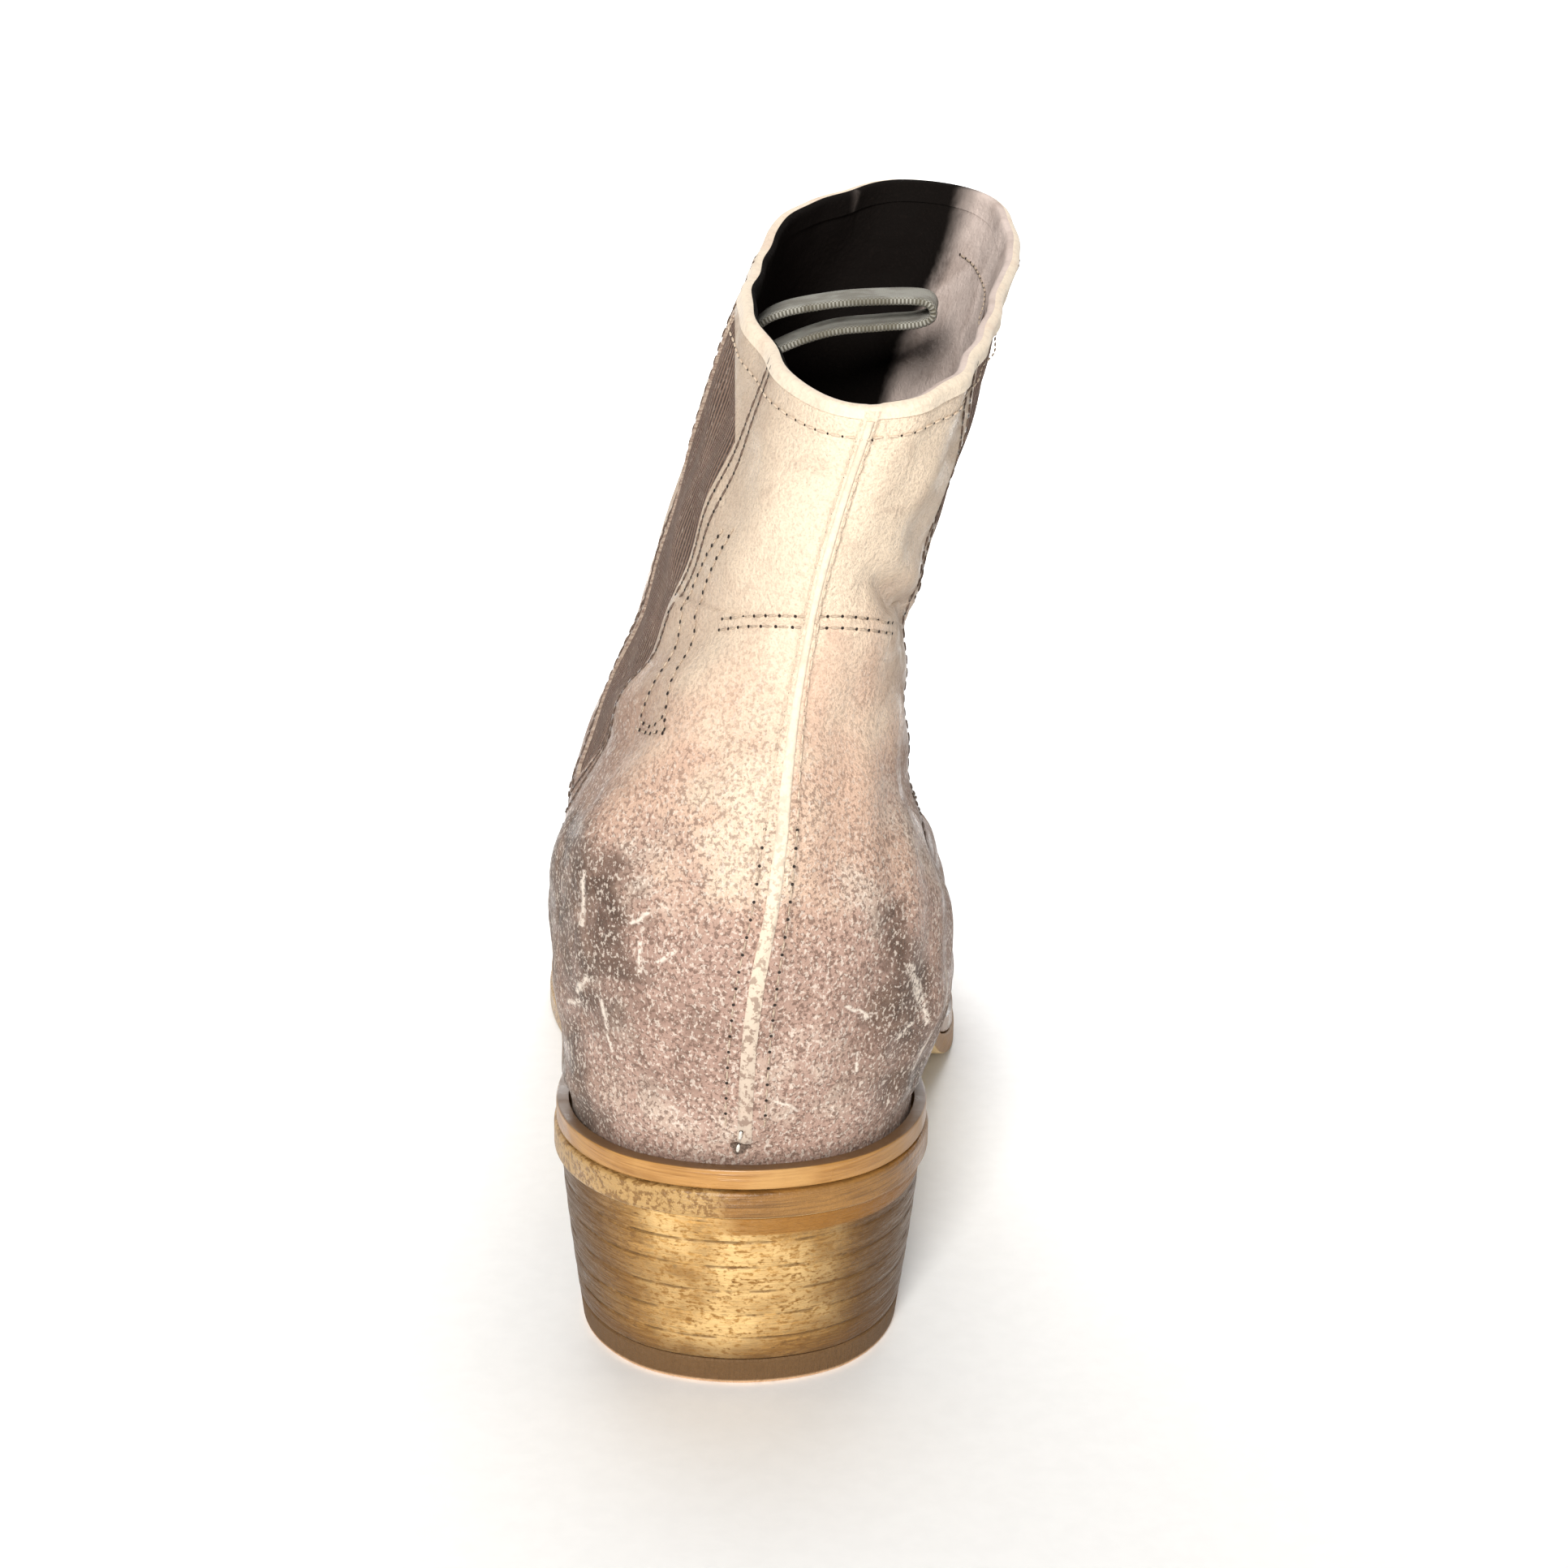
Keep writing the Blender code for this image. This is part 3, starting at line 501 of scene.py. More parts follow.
def upper_base(turn, level):
    """Outer face of the upper without its steps and creases."""
    turn, level = np.broadcast_arrays(np.asarray(turn, float), np.asarray(level, float))
    angle, side = mirrored(turn)
    row = smooth(level, RINGS[:, 0], RINGS[:, 1:])
    follow, back_y, back_z, front_y, front_z = (row[..., i] for i in range(5))
    knots = np.arccos(1 - 2 * np.array(RING_STATIONS))
    share = (1 - np.cos(angle)) / 2
    zero = np.zeros_like(follow)
    outer = [zero] + [row[..., i] for i in range(5, 10)] + [zero]
    inner = [zero] + [row[..., i] for i in range(10, 15)] + [zero]
    half = np.where(side > 0, station_curve(angle, knots, outer),
                    station_curve(angle, knots, inner))
    x = side * half + row[..., 15] + share * (row[..., 16] - row[..., 15])
    y = back_y + share * (front_y - back_y)
    inset = FEATHER_SEAT + (FEATHER_TOE - FEATHER_SEAT) * ramp(angle, *FEATHER_TURNS)
    feather = sole_outline(turn, inset)
    x = follow * feather[..., 0] + (1 - follow) * x
    y = follow * feather[..., 1] + (1 - follow) * y
    chord = sole_top(BACK) + share * (sole_top(BACK + SOLE_LENGTH) - sole_top(BACK))
    z = back_z + share * (front_z - back_z) + follow * (sole_top(y) - chord)
    return np.stack([x, y, z], axis=-1)


TURN_STEP, LEVEL_STEP = 0.01, 0.004


def upper_normal(turn, level):
    """Outward direction of the upper's face, level with the floor at the feather line."""
    low = np.clip(np.asarray(level, float) - LEVEL_STEP, 0.0, 1.0)
    high = np.clip(np.asarray(level, float) + LEVEL_STEP, 0.0, 1.0)
    around = upper_base(turn + TURN_STEP, level) - upper_base(turn - TURN_STEP, level)
    normal = np.cross(around, upper_base(turn, high) - upper_base(turn, low))
    normal[..., 2] *= ramp(level, 0.0, 0.03)
    return normal / np.linalg.norm(normal, axis=-1, keepdims=True)


def upper_steps(turn, level):
    """Raised parts of the wall above the welt: the counter's lap and the back seam."""
    angle, _ = mirrored(turn)
    counter = 1 - ramp(angle, SIDE_SEAM_TURN - STEP_TURN, SIDE_SEAM_TURN + STEP_TURN)
    below = 1 - ramp(level, SEAM_LEVEL - STEP_LEVEL, SEAM_LEVEL + STEP_LEVEL)
    ridge = 1 - ramp(angle, *RIDGE_TURNS)
    return (COUNTER_LAP * counter * below + SEAM_RIDGE * ridge) * ramp(level, *STEP_FOOT)


# %% [markdown]
# ## Creases
# A worn boot never stays as smooth as its last. The ankle folds over the gores, the vamp
# creases behind the ball, and the counter gets soft dents. Each main crease is listed as the
# points that it runs through, with a depth and a half width: a soft trough with a low swell
# beside it. A negative depth is a ridge. A few long, shallow waves are added, so that no part
# of the leather is quite even.

# %% Listed creases, and slow waves
CREASES = [
    # (turn, level) points, depth, half width
    # folds of the elastic and of the shaft over the outer ankle
    ([(0.30, 0.845), (0.52, 0.815), (0.80, 0.765), (1.10, 0.715), (1.40, 0.67)], 0.0013, 0.0034),
    ([(0.45, 0.90), (0.70, 0.87), (1.00, 0.83)], 0.0006, 0.0030),
    ([(0.55, 0.73), (0.85, 0.67), (1.20, 0.61), (1.55, 0.58)], 0.0009, 0.0034),
    ([(0.46, 0.830), (0.62, 0.806), (0.82, 0.780), (1.04, 0.752)], 0.0013, 0.0019),
    # folds over the inner ankle
    ([(-0.35, 0.80), (-0.65, 0.75), (-1.00, 0.70), (-1.35, 0.66)], 0.0009, 0.0036),
    ([(-0.60, 0.62), (-0.95, 0.58), (-1.35, 0.545)], 0.0007, 0.0036),
    # soft dents of the counter
    ([(-0.52, 0.30), (-0.70, 0.25), (-0.82, 0.18)], 0.0008, 0.0055),
    ([(-0.36, 0.46), (-0.58, 0.41)], 0.0005, 0.0050),
    ([(0.52, 0.27), (0.66, 0.20), (0.74, 0.13)], 0.0006, 0.0050),
    ([(0.30, 0.52), (0.52, 0.47)], -0.0004, 0.0055),
    ([(-0.22, 0.64), (0.0, 0.655), (0.26, 0.64)], 0.0003, 0.0040),
    # bends across the instep, where the shaft meets the foot
    ([(2.00, 0.60), (2.50, 0.63), (3.14, 0.655), (3.78, 0.63), (4.28, 0.60)], 0.0010, 0.0050),
    ([(1.95, 0.50), (2.40, 0.545), (3.14, 0.575), (3.88, 0.545), (4.30, 0.50)], 0.0007, 0.0045),
    # bends of the vamp behind the ball
    ([(1.89, 0.13), (2.03, 0.29), (2.31, 0.41), (3.14, 0.525), (3.97, 0.41), (4.25, 0.29),
      (4.39, 0.13)], 0.0010, 0.0042),
    ([(2.03, 0.12), (2.15, 0.27), (2.50, 0.385), (3.14, 0.452), (3.78, 0.385), (4.13, 0.27),
      (4.25, 0.12)], 0.0012, 0.0038),
    ([(2.16, 0.11), (2.30, 0.23), (2.62, 0.345), (3.14, 0.388), (3.66, 0.345), (3.98, 0.23),
      (4.12, 0.11)], 0.0008, 0.0034),
]
CREASE_STEPS = 36
SWELL, SWELL_AT = 0.35, 2.1
WAVES, WAVE_HEIGHT = 14, 0.00016
waves = np.random.default_rng(11)
WAVE_TURNS = waves.normal(size=(WAVES, 3))
WAVE_TURNS *= (2 * math.pi / waves.uniform(0.010, 0.045, WAVES)
               / np.linalg.norm(WAVE_TURNS, axis=1))[:, None]
WAVE_STARTS = waves.uniform(0, 2 * math.pi, WAVES)


def creases(points):
    """How far the face moves outwards at each point, from its creases and waves."""
    flat = points.reshape(-1, 3)
    move = np.zeros(len(flat))
    for line, depth, width in CREASES:
        turn, level = np.array(line).T
        steps = np.linspace(0, len(line) - 1, CREASE_STEPS)
        marks = np.arange(len(line))
        path = upper_base(smooth(steps, marks, turn), smooth(steps, marks, level))
        away = np.sqrt(((flat[:, None, :] - path[None]) ** 2).sum(-1))
        nearest = away.argmin(1)
        away = away[np.arange(len(flat)), nearest] / width
        fade = np.sin(math.pi * np.clip(steps[nearest] / (len(line) - 1), 0.02, 0.98)) ** 0.7
        move -= depth * fade * (np.exp(-away**2) - SWELL * np.exp(-(away - SWELL_AT)**2))
    slow = np.sin(flat @ WAVE_TURNS.T + WAVE_STARTS).sum(1)
    return (move + WAVE_HEIGHT * slow).reshape(points.shape[:-1])


def upper_skin(turn, level, depth=0.0):
    """Place on the creased upper, depth metres inside its outer face."""
    turn, level = np.broadcast_arrays(np.asarray(turn, float), np.asarray(level, float))
    base = upper_base(turn, level)
    out = upper_steps(turn, level) if depth <= 0.0 else 0.0
    calm = ramp(level, 0.02, 0.07)
    return base + upper_normal(turn, level) * (out - depth + creases(base) * calm)[..., None]


print("creases:", len(CREASES), "by hand and", WAVES, "waves")

# %% [markdown]
# ## Helpers for meshes
# Most pieces here are rings of points joined by four-sided faces, either going round like a
# tyre, or capped like a slab. `solid` turns such lists into a piece with smooth shading.

# %% Helpers for meshes


def solid(name, points, faces, finishes, sharp=40.0, outward=True):
    """Piece from points and faces, with smooth shading and its faces turned outwards."""
    mesh = bpy.data.meshes.new(name)
    mesh.from_pydata([tuple(map(float, p)) for p in points], [], faces)
    if outward:
        work = bmesh.new()
        work.from_mesh(mesh)
        bmesh.ops.recalc_face_normals(work, faces=work.faces)
        work.to_mesh(mesh)
        work.free()
    mesh.shade_smooth()
    mesh.set_sharp_from_angle(angle=math.radians(sharp))
    piece = bpy.data.objects.new(name, mesh)
    scene.collection.objects.link(piece)
    for finish in finishes:
        mesh.materials.append(finish)
    return piece


def ring_faces(count, low, high):
    """Quads between two closed rings of the same count."""
    return [(low + i, low + (i + 1) % count, high + (i + 1) % count, high + i)
            for i in range(count)]


def hoop(name, rings, finishes, sharp=40.0):
    """Ring-shaped piece: the rings go once round its cross-section."""
    count = len(rings[0])
    faces = []
    for i in range(len(rings)):
        faces += ring_faces(count, i * count, (i + 1) % len(rings) * count)
    return solid(name, np.concatenate(rings), faces, finishes, sharp)


def flat_cap(count, start):
    """One face over a closed ring."""
    return [tuple(range(start, start + count))]


def across_cap(count, start):
    """Cap of a closed ring whose points mirror from back to toe."""
    half = count // 2
    faces = [(start, start + 1, start + count - 1)]
    faces += [(start + i, start + i + 1, start + count - i - 1, start + count - i)
              for i in range(1, half - 1)]
    return faces + [(start + half - 1, start + half, start + half + 1)]


def slab(name, rings, finishes, sharp=40.0, cap=flat_cap):
    """Piece between closed rings, capped at both ends."""
    count = len(rings[0])
    faces = cap(count, 0) + cap(count, count * (len(rings) - 1))
    for i in range(len(rings) - 1):
        faces += ring_faces(count, i * count, (i + 1) * count)
    return solid(name, np.concatenate(rings), faces, finishes, sharp)


def worn(piece, slot, *replaced):
    """Puts a finished piece on the boot's body, in place of the solids it stands for."""
    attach(piece, "root")
    if replaced:
        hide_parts(*replaced)
    print(piece.name, len(piece.data.polygons), "faces")
    return piece


def evaluated_mesh(piece, name):
    """The piece with its modifiers applied, as a new piece; the old one goes."""
    graph = bpy.context.evaluated_depsgraph_get()
    mesh = bpy.data.meshes.new_from_object(piece.evaluated_get(graph))
    made = bpy.data.objects.new(name, mesh)
    mesh.name = name
    scene.collection.objects.link(made)
    bpy.data.objects.remove(piece, do_unlink=True)
    return made


def grown(name, mesh, tree, values):
    """Plain mesh that a Geometry Nodes tree makes from a mesh, with its inputs by name."""
    seed = bpy.data.objects.new(name + "_seed", mesh)
    scene.collection.objects.link(seed)
    modifier = seed.modifiers.new("nodes", "NODES")
    modifier.node_group = tree
    for item in tree.interface.items_tree:
        if item.in_out == "INPUT" and item.name in values:
            modifier[item.identifier] = values[item.name]
    made = evaluated_mesh(seed, name)
    made.data.shade_smooth()
    return made


# %% [markdown]
# ## The upper's fine grid
# The wall is one hollow shell, 2 mm thick: an outer face of fine rows and columns, a rounded
# collar, and an inner face with fewer rows, since less of it shows. Pairs of rows and
# columns stand close together at each seam, so its step is crisp. The grid comes before the
# suede, because stains and stitches are placed on it. `plan_of` finds the grid place nearest
# to a place on the boot in millimetres, and a flat map of the wall, in metres round and up
# from the foot of the back seam, lets a mark follow the skin.

# %% Fine shell of the upper
UPPER_TURNS, OUTER_LEVELS, INNER_LEVELS, COLLAR_ROUND = 196, 168, 44, 5
TURN_APART, LEVEL_APART = 0.006, 0.003


def near_marks(values, marks, apart):
    """Values that keep clear of the marks, with the marks put in."""
    kept = [v for v in values if all(abs(v - m) > apart for m in marks)]
    return np.array(sorted(kept + list(marks)))


turn_marks = [*RIDGE_TURNS, SIDE_SEAM_TURN - STEP_TURN, SIDE_SEAM_TURN + STEP_TURN]
half_turns = near_marks(np.linspace(0.0, math.pi, UPPER_TURNS + 1), turn_marks, TURN_APART)
upper_turns = np.concatenate([half_turns, 2 * math.pi - half_turns[-2:0:-1]])
outer_levels = near_marks(np.linspace(0.0, 1.0, OUTER_LEVELS),
                          [SEAM_LEVEL - STEP_LEVEL, SEAM_LEVEL + STEP_LEVEL], LEVEL_APART)
outer_grid = upper_skin(upper_turns[None, :], outer_levels[:, None])
inner_grid = upper_skin(upper_turns[None, :], np.linspace(1.0, 0.0, INNER_LEVELS)[:, None],
                        WALL)
collar_up = upper_base(upper_turns, 1.0) - upper_base(upper_turns, 0.99)
collar_up /= np.linalg.norm(collar_up, axis=-1, keepdims=True)
collar_out = upper_normal(upper_turns, 1.0)
collar_middle = (outer_grid[-1] + inner_grid[0]) / 2
collar_rings = [
    collar_middle + WALL / 2 * (math.cos(a) * collar_out + 0.8 * math.sin(a) * collar_up)
    for a in np.linspace(0.0, math.pi, COLLAR_ROUND + 2)[1:-1]]
flat_outer = outer_grid.reshape(-1, 3)
columns = len(upper_turns)
signed_turns = np.where(upper_turns > math.pi, upper_turns - 2 * math.pi, upper_turns)
PLAN_ROUND, PLAN_UP = 0.032, 0.150


def plan_of(place):
    """Turn and level of the grid place nearest to a place in millimetres."""
    row, column = divmod(((flat_outer - np.array(place) / 1000) ** 2).sum(1).argmin(), columns)
    return signed_turns[column], outer_levels[row]


print("grid:", outer_grid.shape)

# %% [markdown]
# ## Suede
# The upper is worn suede. It has three scales: a nap of fibres under half a millimetre, a
# speckle where the surface has rubbed off, and broad tones, cream on the shaft and, partly
# as a painted highlight, along the back, mauve taupe over the counter, and brown stains low
# on the sides. The broad tones follow height, with noise to break them up. Painted shade
# darkens the sides low down, a line along the counter's edge and the foot of the wall above
# the welt. Stains and pale scuffs are drawn as soft marks between two places, in
# millimetres. Suede has no gloss, only a soft sheen from its fibres at a grazing view.

# %% Finish of the suede
CREAM = (0.77, 0.625, 0.475)
ROSE = (0.63, 0.425, 0.315)
TAUPE = (0.410, 0.272, 0.218)
UMBER = (0.165, 0.100, 0.078)
BROWN = (0.060, 0.038, 0.028)
DARK_FLECK = (0.120, 0.070, 0.052)
CHALK = (0.76, 0.66, 0.57)

# Each mark: start, end, radius, in millimetres
# Cream along the back, where it faces the light: the suede's cream with a painted highlight.
CREAM_AND_HIGHLIGHT_MARKS = [
    ((13.1, -34, 148), (7.8, -32, 125), 11), ((7.8, -32, 125), (3.5, -40, 88), 8),
    ((1.8, -33, 110), (-3.0, -36, 92), 10), ((-12, -25, 118), (-2, -24, 124), 8),
]
ROSE_MARKS = [
    ((12.5, -31, 121), (9.0, -34, 108), 6), ((8.0, -37, 103), (8.5, -39, 86), 3.2),
    ((-13.7, -29, 98), (-7.0, -34, 96), 4.5), ((15.5, -31, 108), (15.0, -33, 98), 6),
]
UMBER_MARKS = [
    ((-10.6, -37, 71), (-3.5, -39, 65), 6.5), ((-14, -34, 66), (-7, -37, 58), 6),
    ((-20, -29, 60), (-13, -33, 53), 6), ((16, -32, 53), (21, -26, 45), 6.5),
    ((22, -28, 52), (27, -18, 45), 7), ((-24, -15, 92), (-20, -22, 97), 5),
    ((19, -32, 72), (19, -32, 60), 5),
]
STAINS = [
    ((-26.0, -21, 86), (-26.5, -22, 64), 8.5), ((-22.5, -27, 84), (-18.5, -30, 79), 6.0),
    ((-22, -28, 76), (-20.5, -30, 71), 5.0), ((-28, -12, 86), (-30, 6, 62), 10),
    ((21.8, -31, 79), (24.5, -27, 69), 5.4), ((24.8, -27, 70), (24.6, -27, 58), 5.4),
    ((-26, -19, 54), (-25, -19, 43), 6.0), ((30, -9, 52), (31, 4, 46), 8),
    ((-30, 16, 60), (-31, 42, 50), 9), ((25.2, -24, 50), (28.5, -14, 44), 6),
]
SCUFFS = [
    ((-23.9, -23.5, 84.8), (-24.7, -24.8, 76.3), 0.48),
    ((-25.8, -23.2, 65.0), (-23.6, -26.8, 68.5), 0.60),
    ((-27.1, -20.5, 62.1), (-25.6, -23.7, 63.5), 0.55),
    ((-22.0, -28.5, 65.4), (-20.7, -29.4, 61.1), 0.38),
    ((-20.6, -29.4, 60.0), (-20.3, -29.4, 57.4), 0.32),
    ((-12.1, -36.2, 74.6), (-10.6, -36.8, 76.7), 0.42),
    ((-16.7, -32.9, 79.2), (-14.4, -34.1, 81.3), 0.40),
    ((-15.2, -33.5, 77.0), (-14.9, -33.9, 72.0), 0.30),
    ((24.4, -28.2, 71.1), (26.9, -23.4, 60.8), 0.70),
    ((25.2, -25.8, 61.4), (22.7, -28.5, 59.6), 0.42),
    ((14.7, -35.7, 67.5), (18.4, -33.0, 64.8), 0.40),
    ((16.3, -32.9, 55.1), (17.2, -32.9, 58.4), 0.30),
    ((28.4, -21.0, 58.0), (27.5, -22.0, 50.5), 0.85),
    ((28.9, -16.0, 66.0), (29.6, -14.0, 60.0), 0.60),
    ((5.0, -39.0, 53.0), (8.4, -37.6, 50.0), 0.30),
    ((-30.0, 8.0, 70.0), (-30.5, 16.0, 66.0), 0.60),
    ((30.5, 12.0, 72.0), (31.5, 19.0, 64.0), 0.55),
]
PALE_AREAS = [
    ((-16.0, -30.4, 90.4), (-14.4, -34.2, 80.5), 2.6),
    ((15.8, -34.5, 88.7), (18.5, -33.7, 78.9), 3.0),
    ((-16, -32, 50), (-6, -37, 46), 5.5), ((9, -37, 60), (10, -36, 50), 5.5),
    ((24, -27, 98), (29, -10, 76), 4.5), ((-19, -24, 71), (-17, -29, 62), 2.4),
]


def suede_finish():
    suede = Finish("worn_suede", roughness=0.92, specular=0.12)
    z = suede.axis("Z")
    plan = suede.add("ShaderNodeUVMap", uv_map="plan").outputs["UV"]
    around, up = suede.map_parts("plan")
    turn = suede.math("DIVIDE", suede.math("ABSOLUTE", around), PLAN_ROUND)
    level = suede.math("DIVIDE", up, PLAN_UP)
    less, both = suede.less, suede.both
    broad = suede.noise(0.020, 3.0, 0.55, 0.4)
    patches = suede.noise(0.0055, 3.0, 0.6, 0.5)
    speckle = suede.noise(0.00068, 2.0, 0.62)
    second = suede.noise(0.00078, 2.0, 0.62, place=suede.stretched((0.7, 0.8, 0.9)))
    nap = suede.noise(0.00035, 1.0, 0.7)
    streaks = suede.noise((0.0013, 0.0013, 0.012), 2.0, 0.6, 1.2)

    def on_plan(place):
        at_turn, at_level = plan_of(place)
        return (at_turn * PLAN_ROUND, at_level * PLAN_UP, 0.0)

    def marks(table, edge):
        return suede.most(*[suede.patch(on_plan(start), on_plan(end), radius / 1000, edge, plan)
                            for start, end, radius in table])

    height = suede.math("ADD", z, both(suede.math("SUBTRACT", broad, 0.5), 0.060))
    colour = suede.mix(suede.above(height, 0.070, 0.106), TAUPE, ROSE)
    colour = suede.mix(suede.above(height, 0.098, 0.135), colour, CREAM)
    # Cream along the back: partly the suede's own tone, partly a painted highlight.
    colour = suede.mix(both(marks(CREAM_AND_HIGHLIGHT_MARKS, 0.1), 0.75), colour, CREAM)
    colour = suede.mix(both(marks(ROSE_MARKS, 0.1), 0.70), colour, ROSE)
    colour = suede.mix(both(marks(PALE_AREAS, 0.2), suede.above(patches, 0.38, 0.56), 0.60),
                       colour, (0.68, 0.56, 0.46))
    colour = suede.mix(both(marks(UMBER_MARKS, 0.1), suede.above(patches, 0.36, 0.60), 0.60),
                       colour, UMBER)
    # Painted shade: low on the sides, where the counter turns away from the light, the suede is
    # darkened towards umber, mottled by the patches.
    side = both(suede.above(turn, 0.42, 0.90), less(suede.above(z, 0.080, 0.130, 0.55)), 0.84)
    colour = suede.mix(both(side, suede.above(patches, 0.10, 0.46)), colour, UMBER)
    colour = suede.mix(both(marks(STAINS, 0.05), suede.above(patches, 0.22, 0.44), 0.94),
                       colour, BROWN)
    colour = suede.mix(suede.above(patches, 0.52, 0.68, 0.22), colour, (0.42, 0.29, 0.22))

    low = less(suede.above(height, 0.076, 0.132, 0.84))
    colour = suede.mix(both(suede.above(speckle, 0.485, 0.60), low, 0.70), colour, DARK_FLECK)
    behind = less(suede.above(turn, 1.15, 1.75, 0.55))
    colour = suede.mix(both(suede.above(second, 0.54, 0.62), both(low, behind), 0.58), colour,
                       CHALK)
    colour = suede.mix(suede.above(nap, 0.45, 0.75, 0.30), colour, (0.26, 0.17, 0.13))

    # Painted shade: a dark line along the counter's edge by the side seam, and a dark band at the
    # foot of the wall just above the welt, where shadow falls.
    from_seam = suede.math("ABSOLUTE", suede.math("SUBTRACT", turn, SIDE_SEAM_TURN + 0.004))
    edge = both(less(suede.above(from_seam, 0.003, 0.011)), less(suede.above(level, 0.40, 0.44)),
                0.80)
    shade_above_welt = both(suede.above(level, 0.010, 0.022), less(suede.above(level, 0.022, 0.045)), 0.45)
    colour = suede.mix(suede.most(edge, shade_above_welt), colour, (0.06, 0.038, 0.028))

    scuffs = both(marks(SCUFFS, 0.2), suede.above(speckle, 0.36, 0.52), 0.90)
    rubbed = both(both(suede.above(streaks, 0.655, 0.71), suede.above(broad, 0.50, 0.60)), low,
                  0.70)
    colour = suede.mix(suede.most(scuffs, rubbed), colour, CHALK)

    suede.relief((speckle, 0.00026), (nap, 0.00010), (patches, 0.0005))
    return suede.finish(colour, suede.above(patches, 0.1, 0.9, 0.95),
                        Sheen_Weight=0.08, Sheen_Roughness=0.5,
                        Sheen_Tint=(0.9, 0.8, 0.7))


SUEDE = suede_finish()

# %% [markdown]
# Lining and cut edges are the same skin from its other side and from its edge. The lining is
# a smooth leather, pale pink-grey on the outer side of the mouth; to the front, on the inner
# side and deeper in it is painted near black, as the shadow inside the shaft. A cut edge is
# fibrous and a little darker.

# %% Finish of the lining and of the cut edges


def lining_finish():
    lining = Finish("lining_leather", roughness=0.85, specular=0.04)
    x, y, z = (lining.axis(name) for name in "XYZ")
    grain = lining.noise(0.0007, 3.0, 0.6)
    soil = lining.noise(0.010, 4.0, 0.6, 0.5)
    colour = lining.mix(lining.above(soil, 0.42, 0.72, 0.55), (0.66, 0.545, 0.490),
                        (0.36, 0.270, 0.230))
    # Painted shadow: to the front, on the inner side and deep down the lining goes near black, for
    # the shade inside the shaft.
    forward = lining.math("ADD", y, lining.both(soil, 0.004))
    front = lining.above(forward, 0.0540, 0.0590)
    inner = lining.less(lining.above(x, 0.018, 0.026))
    deep = lining.less(lining.above(z, 0.112, 0.140))
    painted_shadow_inside = lining.both(lining.most(front, inner, deep), 0.995)
    colour = lining.mix(painted_shadow_inside, colour, (0.0035, 0.0026, 0.0022))
    colour = lining.mix(lining.above(grain, 0.5, 0.8, 0.12), colour, (0.03, 0.02, 0.016))
    lining.relief((grain, 0.0002), (soil, 0.0006))
    return lining.finish(colour)


def edge_finish():
    edge = Finish("cut_edge", roughness=0.85, specular=0.2)
    fibres = edge.noise((0.0015, 0.0015, 0.0004), 2.0, 0.7)
    colour = edge.mix(edge.above(fibres, 0.35, 0.7), (0.42, 0.33, 0.26), (0.20, 0.13, 0.10))
    edge.relief((fibres, 0.0002))
    return edge.finish(colour)


LINING = lining_finish()
CUT_EDGE = edge_finish()

# %% [markdown]
# ## The upper
# The grid becomes a closed shell with its flat map. The U-shaped openings for the gores are
# cut from the side with a Boolean, as a cutter's knife would.

# %% Shell of the upper
shell = hoop("upper_shell", [*outer_grid, *collar_rings, *inner_grid],
             [SUEDE, LINING, CUT_EDGE], 55.0)
for face in shell.data.polygons:
    row = face.index // columns
    if row >= len(outer_grid) + len(collar_rings) - 1:
        face.material_index = 1

plan = shell.data.uv_layers.new(name="plan")
all_levels = np.concatenate([outer_levels, np.ones(len(collar_rings)),
                             np.linspace(1.0, 0.0, INNER_LEVELS)])
toe_column = int(np.argmax(signed_turns))
for face in shell.data.polygons:
    spots = [divmod(shell.data.loops[i].vertex_index, columns) for i in face.loop_indices]
    past_toe = max(column for _, column in spots) > toe_column
    for i, (row, column) in zip(face.loop_indices, spots):
        turn = -math.pi if past_toe and column == toe_column else signed_turns[column]
        plan.data[i].uv = (turn * PLAN_ROUND, all_levels[row] * PLAN_UP)

skin_faces = []
for row in range(len(outer_grid) - 1):
    skin_faces += ring_faces(columns, row * columns, (row + 1) * columns)
skin_tree = BVHTree.FromPolygons([Vector(p) for p in outer_grid.reshape(-1, 3)], skin_faces)
print("shell:", len(shell.data.polygons), "faces")

# %% Gore openings


def gore_outline(grow, tip_steps=24):
    """Side view (y, z) of a gore's U, grown by some metres, from its back edge to its front."""
    radius = GORE_TIP_RADIUS + grow
    centre = GORE_TIP_HEIGHT + GORE_TIP_RADIUS
    top = SHAFT_HEIGHT + COLLAR_RISE
    half_top = GORE_TOP_WIDTH / 2 + grow
    tip = [(GORE_Y - radius * math.cos(a), centre - radius * math.sin(a))
           for a in np.linspace(0.0, math.pi, tip_steps)]
    return [(GORE_Y + GORE_LEAN - half_top, top), *tip, (GORE_Y + GORE_LEAN + half_top, top)]


CUTTER_NEAR = {1: 0.012, -1: -0.002}


def gore_cutter(side, grow, finish_index):
    """Block through one side of the shaft, with the gore's outline."""
    outline = gore_outline(grow)
    rings = [[(x, y, z) for y, z in outline] for x in (CUTTER_NEAR[side], side * BALL_WIDTH)]
    cutter = slab("gore_cutter", rings, [SUEDE, LINING, CUT_EDGE])
    for face in cutter.data.polygons:
        face.material_index = finish_index
    return cutter


def cut(piece, cutter, operation):
    """Cuts a piece and gives it back as a plain mesh."""
    modifier = piece.modifiers.new(operation.lower(), "BOOLEAN")
    modifier.operation, modifier.solver, modifier.object = operation, "EXACT", cutter
    name = piece.name
    piece.name = name + "_uncut"
    made = evaluated_mesh(piece, name)
    bpy.data.objects.remove(cutter, do_unlink=True)
    return made


